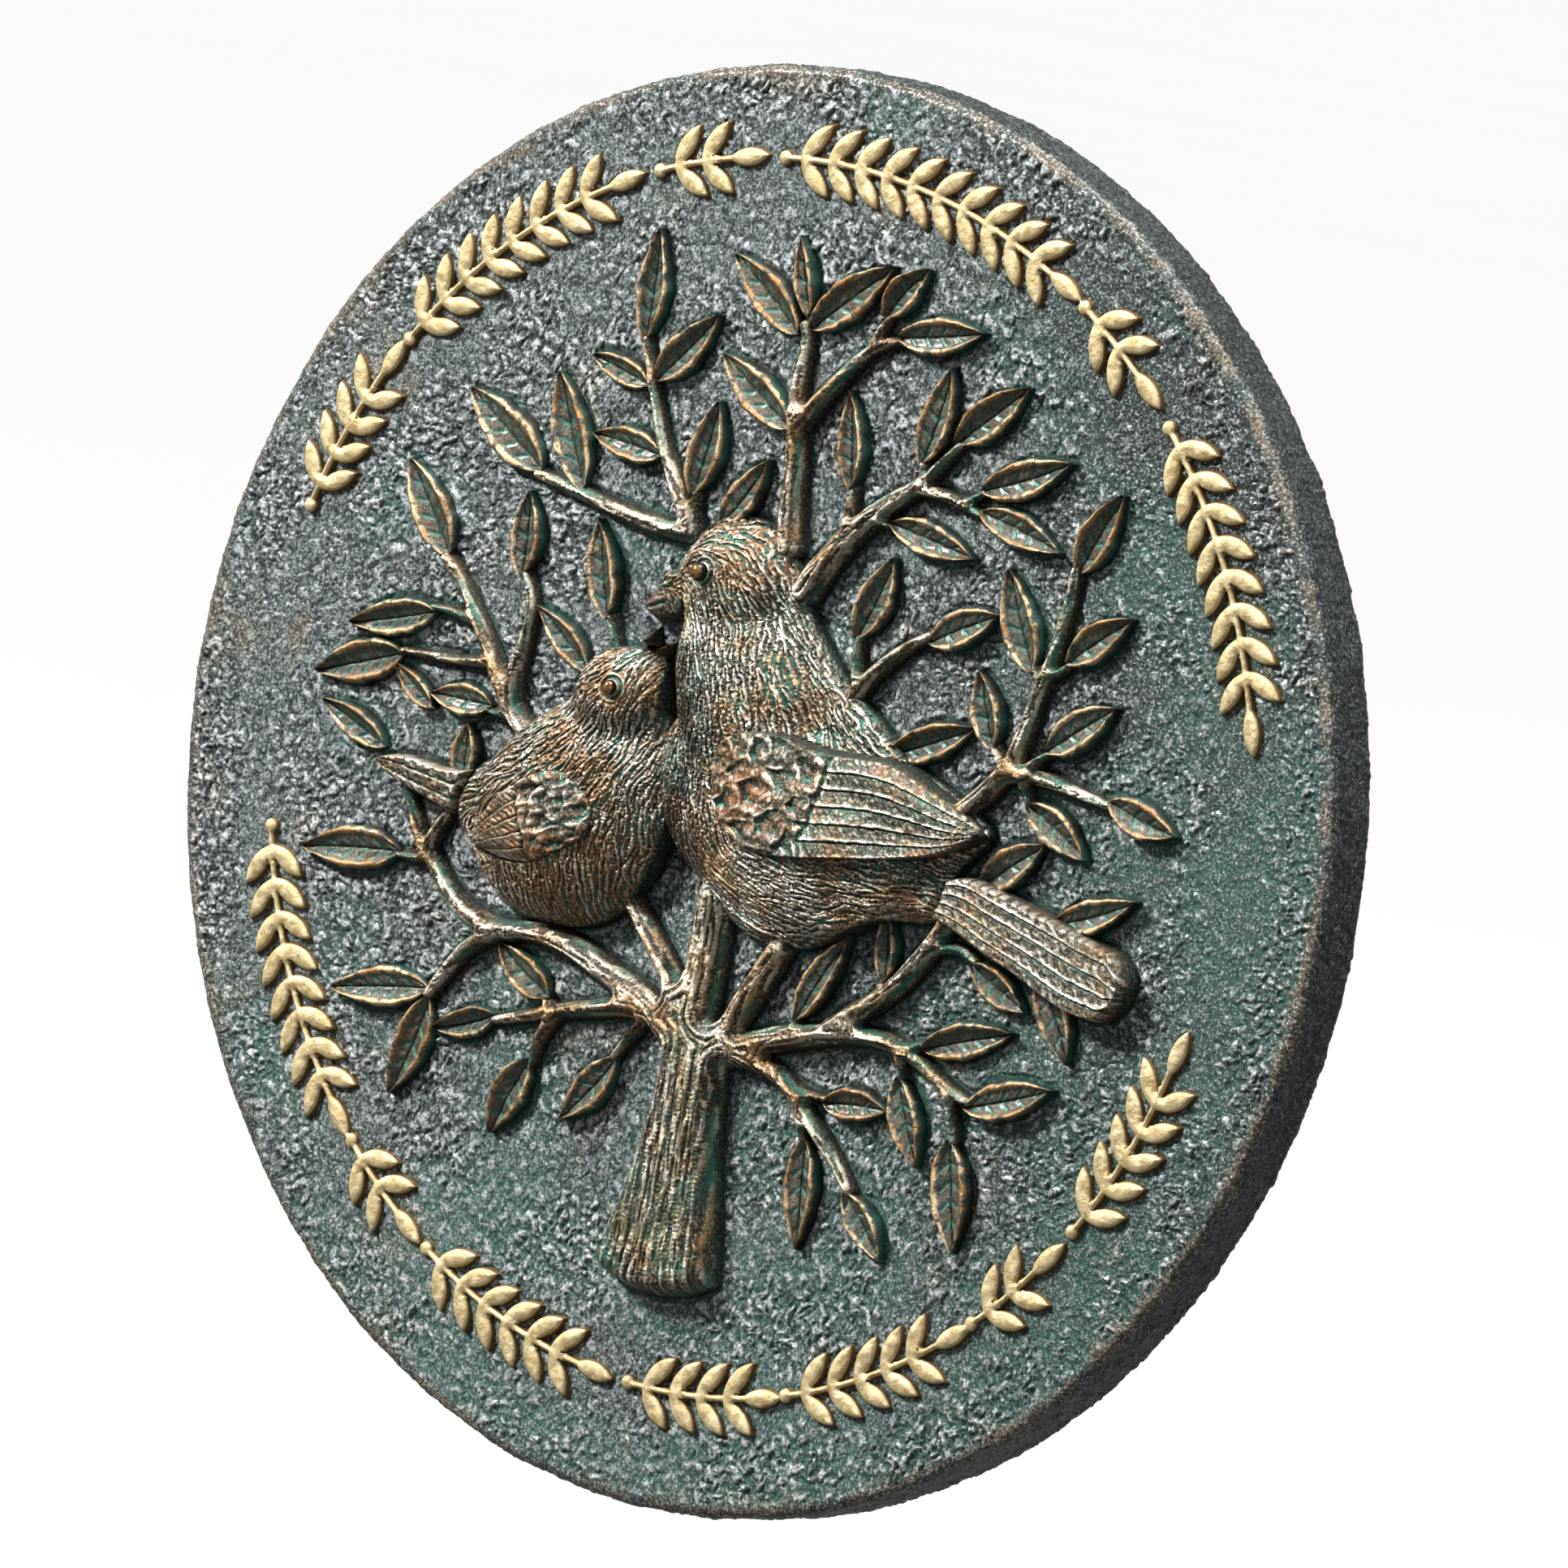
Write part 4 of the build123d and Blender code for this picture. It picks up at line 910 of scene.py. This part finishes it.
# Tails: long feathers side by side, cut off square and rounded
for node, heading, count, rise in (("large_bird_tail", -13.5, 5, 4.8), ("small_bird_tail", 176, 3, 4.4)):
    distance, u, v, share = feathered(node, TAIL_TOP, heading)
    feathers = flight_feathers(u, v, share, count, 2.3, 0.2)
    uneven = 0.12 * noise(u, v * 3, 5, 91) - 0.2
    top = shoulder(distance, 0.9, rise) + ease(distance, 0, 0.4) * (feathers + uneven)
    ending = ease(u - u[distance > 0].max(), -9, -2)
    warm = 0.12 + 0.15 * noise(*over, 9, 92) + 0.1 * ending
    bird_piece(node, distance, top, feathers, warm, 0.1, edge=0.4)

# Beaks: rounded cones with the gape's groove along them; the large one is rooted in the face
LARGE_BEAK = np.array([
    (-26.8, 27.5), (-24.0, 30.3), (-21.8, 32.8), (-20.2, 35.6), (-15.0, 36.2), (-13.5, 31.0), (-14.5, 27.6),
    (-20.4, 26.4),
])
for node, loops, centre, heading, rise, root, width, shade in (
    ("large_bird_beak", [LARGE_BEAK], (-26.8, 27.5), 19, 3.6, 0.24, 1.3, 0.9),
    ("small_bird_beak", outlines("small_bird_beak", 0), (-21.8, 26.0), 258, 6.6, 0.1, 2.8, 0.1),
):
    distance = bird_grid.distance([resampled(loops, 0.8)], 8.0)[0]
    u, v = turned(*over, centre, heading)
    gape = bump(v, -0.1, 0.35) * ease(u, 9.0, 7.5)
    detail = 0.12 * noise(u, v * 2, 1.8, 93) + 0.8 * large.strokes * ease(u, 3.5, 6) - 0.7 * gape
    top = shoulder(distance, width, rise) + ease(distance, 0, 0.4) * (root * u + detail)
    # Painted shadow: each beak's lower half is darkened below the gape, much more on the large beak
    bird_piece(node, distance, top, detail, 0.35 - 0.2 * ease(u, 5, 8), 0.1, edge=0.6,
               shade=shade * ease(v, 0.3, -0.3) * (1 - gape))


# ---- Gilt laurel borders: flat-topped ornament with rounded edges
gilt_grid = Grid((-118, -118), (118, 121), 0.25)
gilt_distance, gilt_owner = gilt_grid.distance([outlines(name, 0) for name in GILT], 2.5)
brushed = 0.10 * gilt_grid.noise(1.6, 101) + 0.16 * ease(gilt_distance, 0.5, 1.5)
gilt_top = shoulder(gilt_distance, 0.75, 1.05) + ease(gilt_distance, 0.1, 0.7) * brushed
gilt_values = {"relief": ease(gilt_distance, 0.02, 0.5)}
gilt_squares = whole_squares(gilt_distance > -SKIRT)
gilt_paint = gilt_material()
for number, name in enumerate(GILT):
    squares = gilt_squares & (gilt_owner == number)
    piece = relief_piece(name + "_cast", gilt_grid, squares, gilt_top, SUNK_BASE, gilt_paint, gilt_values)
    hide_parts(name)
    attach(piece, "root")


# ---- Disc: hammered ground, worn rim, rough side wall and a plain back with the hanger's recess
# Gaps between the ground's places and the relief that stands on it
field_grid = Grid((-100, -96), (100, 100), 0.4)
covering = [outlines(name, 0) for name in WOOD] + list(leaf_loops.values())
covering = [resampled(loops, 1.5) for loops in covering] + [[large.loop], [small.loop]]
covering += [[largest(outlines(name, TAIL_TOP))] for name in ("large_bird_tail", "small_bird_tail")]
field, _ = field_grid.distance(covering, 5.0)


def hammered(x, z, y=0.0):
    """The ground's lumps and creases, in mm."""
    warp_x, warp_z = noise(x, z, 3.1, 201, y), noise(x, z, 3.1, 202, y)
    x, z = x + 0.7 * warp_x, z + 0.7 * warp_z
    lumps = np.abs(noise(x, z, 2.4, 203, y)) * 0.80 + np.abs(noise(x, z, 1.2, 204, y)) * 0.62
    return lumps + 0.32 * noise(x, z, 4.6, 205, y) + 0.28 * noise(x, z, 0.8, 211, y) - 0.44


# The face is a square grid of this many squares each way, bent to a circle inside the rounded rim
ACROSS = 740
FACE_RADIUS = RADIUS - 2.4
steps = np.linspace(-1, 1, ACROSS + 1)
a, b = np.meshgrid(steps, steps, indexing="ij")
wide = np.abs(a) >= np.abs(b)
safe_a, safe_b = np.where(a == 0, 1, a), np.where(b == 0, 1, b)
ray = np.where(wide, a, b) * FACE_RADIUS
angle = np.where(wide, math.pi / 4 * b / safe_a, math.pi / 2 - math.pi / 4 * a / safe_b)
angle = np.where((a == 0) & (b == 0), 0, angle)
face_x, face_z = face = ray * np.cos(angle), ray * np.sin(angle)
reach = np.hypot(face_x, face_z)
on_field = (np.abs(face_x) < 99) & (np.abs(face_z) < 95)
gap = np.where(on_field, -field_grid.sample(field, *face), 5.0)
gilt_gap = -gilt_grid.sample(gilt_distance, *face)
in_band = bump(reach, 108, 7)
calm = 0.55 + 0.45 * ease(noise(*face, 16, 206), -0.5, 0.4)
strength = ease(gap, 0.1, 0.9) * (1 - 0.50 * in_band) * calm
texture = hammered(*face)
face_h = texture * strength - 0.40 * ease(gap, 1.2, 0.3) - 0.12 * ease(gilt_gap, 0.9, 0.2)

# The rim, the side wall and the back's edge are rings of points outwards from the face's edge
face_ids = np.arange(face_x.size).reshape(face_x.shape)
edge_ids = np.concatenate([face_ids[:-1, 0], face_ids[-1, :-1], face_ids[:0:-1, -1], face_ids[0, :0:-1]])
bearing = np.arctan2(face_z.ravel()[edge_ids], face_x.ravel()[edge_ids])

# Each ring's radius and height
profile = [(RADIUS - 1.9, 0.0), (RADIUS - 1.3, -0.18), (RADIUS - 0.75, -0.5), (RADIUS - 0.32, -0.95),
           (RADIUS - 0.08, -1.5)]
profile += [(RADIUS, h) for h in np.arange(-2.0, -(GROUND - 0.9), -0.4)]
profile += [(RADIUS - 0.25, -(GROUND - 0.45)), (RADIUS - 0.8, -GROUND)]
r, h = np.array(profile).T[:, :, None]
x, z = r * np.cos(bearing), r * np.sin(bearing)
ring_texture = hammered(x, z, y=h)
dents = 0.42 * ring_texture + (0.22 * noise(x, z, 22, 207) + 0.30 * noise(x, z, 7, 208, y=h))
dents[-1] = 0
tilt = ease(-h, 0.0, 1.6)
ring_x, ring_z = (r + dents * tilt) * np.cos(bearing), (r + dents * tilt) * np.sin(bearing)
ring_h = h + dents * (1 - tilt) * 0.8
rings = face_ids.size + np.arange(ring_x.size).reshape(ring_x.shape)
strips = np.concatenate([edge_ids[None], rings])
after = np.roll(strips, -1, axis=1)
front = grid_faces(face_ids)
wall = np.stack([strips[1:], after[1:], after[:-1], strips[:-1]], axis=-1).reshape(-1, 4)

# The back's recess, pocket and pilot holes are the CAD part's own faces, and flat triangles join the recess's
# mouth to the outermost ring
cad_points, cad_triangles = mesh_arrays("plaque_disc")
near_middle = np.all(np.hypot(*cad_points[cad_triangles, :2].transpose(2, 0, 1)) < RADIUS - 8, axis=1)
on_back_plane = level_faces(cad_points, cad_triangles, -GROUND)
recess = cad_triangles[near_middle & ~on_back_plane]
recess_used, recess_index = np.unique(recess, return_inverse=True)
recess_start = face_ids.size + ring_x.size
recess_faces = recess_index.reshape(-1, 3) + recess_start
mouth_edges = open_edges(recess_faces)
outer_ids = rings[-1]
mouth_corners = list(dict.fromkeys(mouth_edges.ravel().tolist()))
mouth_points = cad_points[recess_used[np.array(mouth_corners) - recess_start], :2]
flat_ids = np.array([*outer_ids, *mouth_corners])
flat_points = [Vector(point) for point in (*zip(ring_x[-1], ring_z[-1]), *mouth_points)]
round_count = len(outer_ids)
flat_edges = [(k, (k + 1) % round_count) for k in range(round_count)]
places = {corner: round_count + k for k, corner in enumerate(mouth_corners)}
flat_edges += [(places[p], places[q]) for p, q in mouth_edges.tolist()]
spots, _, triangles, sources, _, _ = delaunay_2d_cdt(flat_points, flat_edges, [], 0, 1e-5)
triangles = np.array([t for t in triangles if len(t) == 3])
original = np.array([source[0] if source else -1 for source in sources])
spots = np.array([tuple(spot) for spot in spots])
middles = spots[triangles].mean(axis=1)
mouth = largest([loop for loop in outlines("plaque_disc", -GROUND) if np.ptp(loop[:, 0]) < RADIUS])
hole_grid = Grid(mouth.min(axis=0) - 1, mouth.max(axis=0) + 1, 0.1)
in_hole = hole_grid.inside([mouth])[hole_grid.index(middles[:, 0], middles[:, 1])]
near_hole = (np.abs(middles - mouth.mean(axis=0)) < np.ptp(mouth, axis=0) / 2 + 0.5).all(axis=1)
triangles = triangles[~(in_hole & near_hole)]
back = flat_ids[original[triangles]]

# The back's triangles all face away from the viewer
points = np.concatenate([
    place(*face, face_h).reshape(-1, 3),
    place(ring_x, ring_z, ring_h).reshape(-1, 3),
    place(*cad_points[recess_used].T),
])
sides = np.diff(points[back][:, :, [0, 2]], axis=1)
facing = sides[:, 0, 0] * sides[:, 1, 1] - sides[:, 0, 1] * sides[:, 1, 0]
back = np.where((facing > 0)[:, None], back[:, ::-1], back)


def guide(face_part, ring_part, recess_part=0.0):
    """A colour guide for all the disc's points: face, rings and recess."""
    ring_part = np.broadcast_to(ring_part, ring_x.shape)
    return np.concatenate([face_part.ravel(), ring_part.ravel(), np.full(len(recess_used), recess_part)])


# Hollows are dark or green, high points and the rim are worn; painted shade darkens the creases, the ground
# beside the relief, the face's right-hand side and upper right, and the side wall
face_local = face_h - blurred(face_h, 4)
face_relief = np.clip(0.44 + 1.35 * face_local + 0.22 * (texture * strength), 0, 1)
# Painted shade: the ground beside the relief is kept dark; the face is also a little darker towards its
# middle
face_relief = face_relief - 0.22 * ease(gap, 0.9, 0.3) - 0.03 * ease(reach, 92, 60)
# Painted shade: the face darkens towards its right-hand side and its upper right
face_relief = face_relief - 0.16 * ease(face_x, 10, 100)
face_relief = face_relief - 0.17 * patch(*face, (80, 80), 38)
ring_relief = np.clip(0.30 + 0.25 * ring_texture, 0, 1)
corner_wear = bump(ring_h, -0.5, 0.9) * (0.5 + 0.5 * noise(ring_x, ring_z, 9, 209))
ring_relief = np.clip(ring_relief + 0.10 * corner_wear, 0, 1)
face_warm = 0.06 + 0.26 * noise(*face, 26, 210) + 0.2 * patch(*face, (72, -62), 20)
face_warm = face_warm + 0.18 * ease(reach, RADIUS - 5, RADIUS - 2.5)
ring_warm = 0.05 + 0.70 * corner_wear
# Painted shade: the side wall darkens below the rim
side_shade = 0.5 * ease(-ring_h, 1.2, 2.6)
# Painted shade: creases and the ground beside the relief darken towards near-black; creases less so in the
# gilt band
creases = ease(-face_local, 0.03, 0.16) * (1 - 0.5 * in_band)
face_shade = np.maximum(0.6 * ease(gap, 0.9, 0.1), 0.6 * creases)
teal = noise(*face, 26, 212) - 0.004 * face_z + 0.003 * face_x
teal = 0.26 * ease(teal, -0.25, 0.55) * ease(face_local, 0.12, -0.02)
teal = np.maximum(teal, 0.7 * bump(gap, 0.6, 0.22) * ease(noise(*face, 9, 213), -0.2, 0.3))
values = {
    "relief": guide(face_relief, ring_relief), "warm": guide(face_warm, ring_warm),
    "dark": guide(face_shade, side_shade, 0.3), "verdigris": guide(teal, 0.0),
}
disc = make_object("plaque_disc_cast", points, [front, wall, recess_faces, back], ground_material, values)
disc.data.materials.append(back_material())
slots = np.zeros(len(disc.data.polygons), np.int32)
slots[len(front) + len(wall):] = 1
disc.data.polygons.foreach_set("material_index", slots)
smooth = np.arange(len(slots)) < len(slots) - len(back)
disc.data.polygons.foreach_set("use_smooth", smooth)
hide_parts("plaque_disc")
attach(disc, "root")


# ---- CAD parts that stay: the hanger and its screws, and the eyes
def eye_material(node):
    """A polished eye: brown at its crown, with a dark green ring round it, placed in metres."""
    s = Shader(node + "_polish")
    towards = s.node("SeparateXYZ", {0: s.where}).outputs["Y"]
    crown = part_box(node)[0][1]
    base = s.mix(s.band(s.noise(0.9, 3), 0.35, 0.65), colour(64, 44, 22), colour(150, 112, 62))
    base = s.mix(s.band(towards, crown + 0.00035, crown + 0.00075), base, colour(10, 16, 14))
    return s.finish(base, 0.25, 0.45, s.noise(0.5, 3), 0.04, Specular_IOR_Level=0.6)


steel = steel_material()
eyes = {node: eye_material(node) for node in ("large_bird_eye", "small_bird_eye")}
for node, material in {"keyhole_hanger": steel, "hanger_screws": steel, **eyes}.items():
    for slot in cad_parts[node].material_slots:
        slot.material = material

# ---- Stage, light and camera
floor_shader = Shader("pale_floor")
floor_base = floor_shader.mix(floor_shader.noise(400, 2), (0.06, 0.06, 0.06, 1), (0.07, 0.07, 0.07, 1))
floor_material = floor_shader.finish(
    floor_base, 0.9, 0.0, floor_shader.noise(5, 2), 0.0, Specular_IOR_Level=0.0, Emission_Color=(1, 1, 1, 1),
    Emission_Strength=0.875)

# The floor is this far below the plaque's middle, and reaches this far each way, in metres
FLOOR = -0.150
SPREAD = 40.0
corners = np.array([(x * SPREAD, z * SPREAD, FLOOR) for x, z in ((-1, -1), (1, -1), (1, 1), (-1, 1))])
floor = make_object("floor", corners, [np.array([[0, 1, 2, 3]])], floor_material, {})
floor.visible_diffuse = False
floor.visible_glossy = False


def area_light(name, place_at, size, power, tint=(1, 1, 1)):
    """A rectangular light that faces the plaque's middle."""
    data = bpy.data.lights.new(name, "AREA")
    data.shape = "RECTANGLE"
    data.size, data.size_y = size
    data.energy = power
    data.color = tint
    lamp = put_in_scene(name, data)
    lamp.location = place_at
    lamp.rotation_euler = (-Vector(place_at)).to_track_quat("-Z", "Y").to_euler()


area_light("key", (-1.3, -1.2, 1.3), (0.38, 0.38), 101, (1.0, 0.997, 0.993))
area_light("fill", (1.9, -1.5, 0.7), (1.2, 1.2), 7, (0.96, 0.98, 1.0))
area_light("top", (0.1, -0.35, 1.6), (1.0, 0.5), 26)
sun = bpy.data.lights.new("overhead", "SUN")
sun.energy = 3.1
sun.angle = math.radians(40)
put_in_scene("overhead", sun)

world = bpy.data.worlds.new("studio")
world.use_nodes = True
background = world.node_tree.nodes["Background"].inputs
background["Color"].default_value = (1.0, 1.0, 1.0, 1)
background["Strength"].default_value = 0.26
bpy.context.scene.world = world

CAMERA_PLACE = Vector((1.7271, -2.2428, 0.2343))
CAMERA_RIGHT = Vector((0.7746, 0.6128, 0.1565))
CAMERA_UP = Vector((-0.1738, -0.0317, 0.9843))
camera_data = bpy.data.cameras.new("camera")
camera_data.sensor_width = 36
camera_data.lens = 372.7
camera = put_in_scene("camera", camera_data)
rightward = CAMERA_RIGHT.normalized()
backward = CAMERA_RIGHT.cross(CAMERA_UP).normalized()
basis = Matrix((rightward, backward.cross(rightward), backward)).transposed()
camera.matrix_world = Matrix.Translation(CAMERA_PLACE) @ basis.to_4x4()
bpy.context.scene.camera = camera
bpy.context.scene.view_settings.view_transform = "Standard"

bpy.context.view_layer.update()
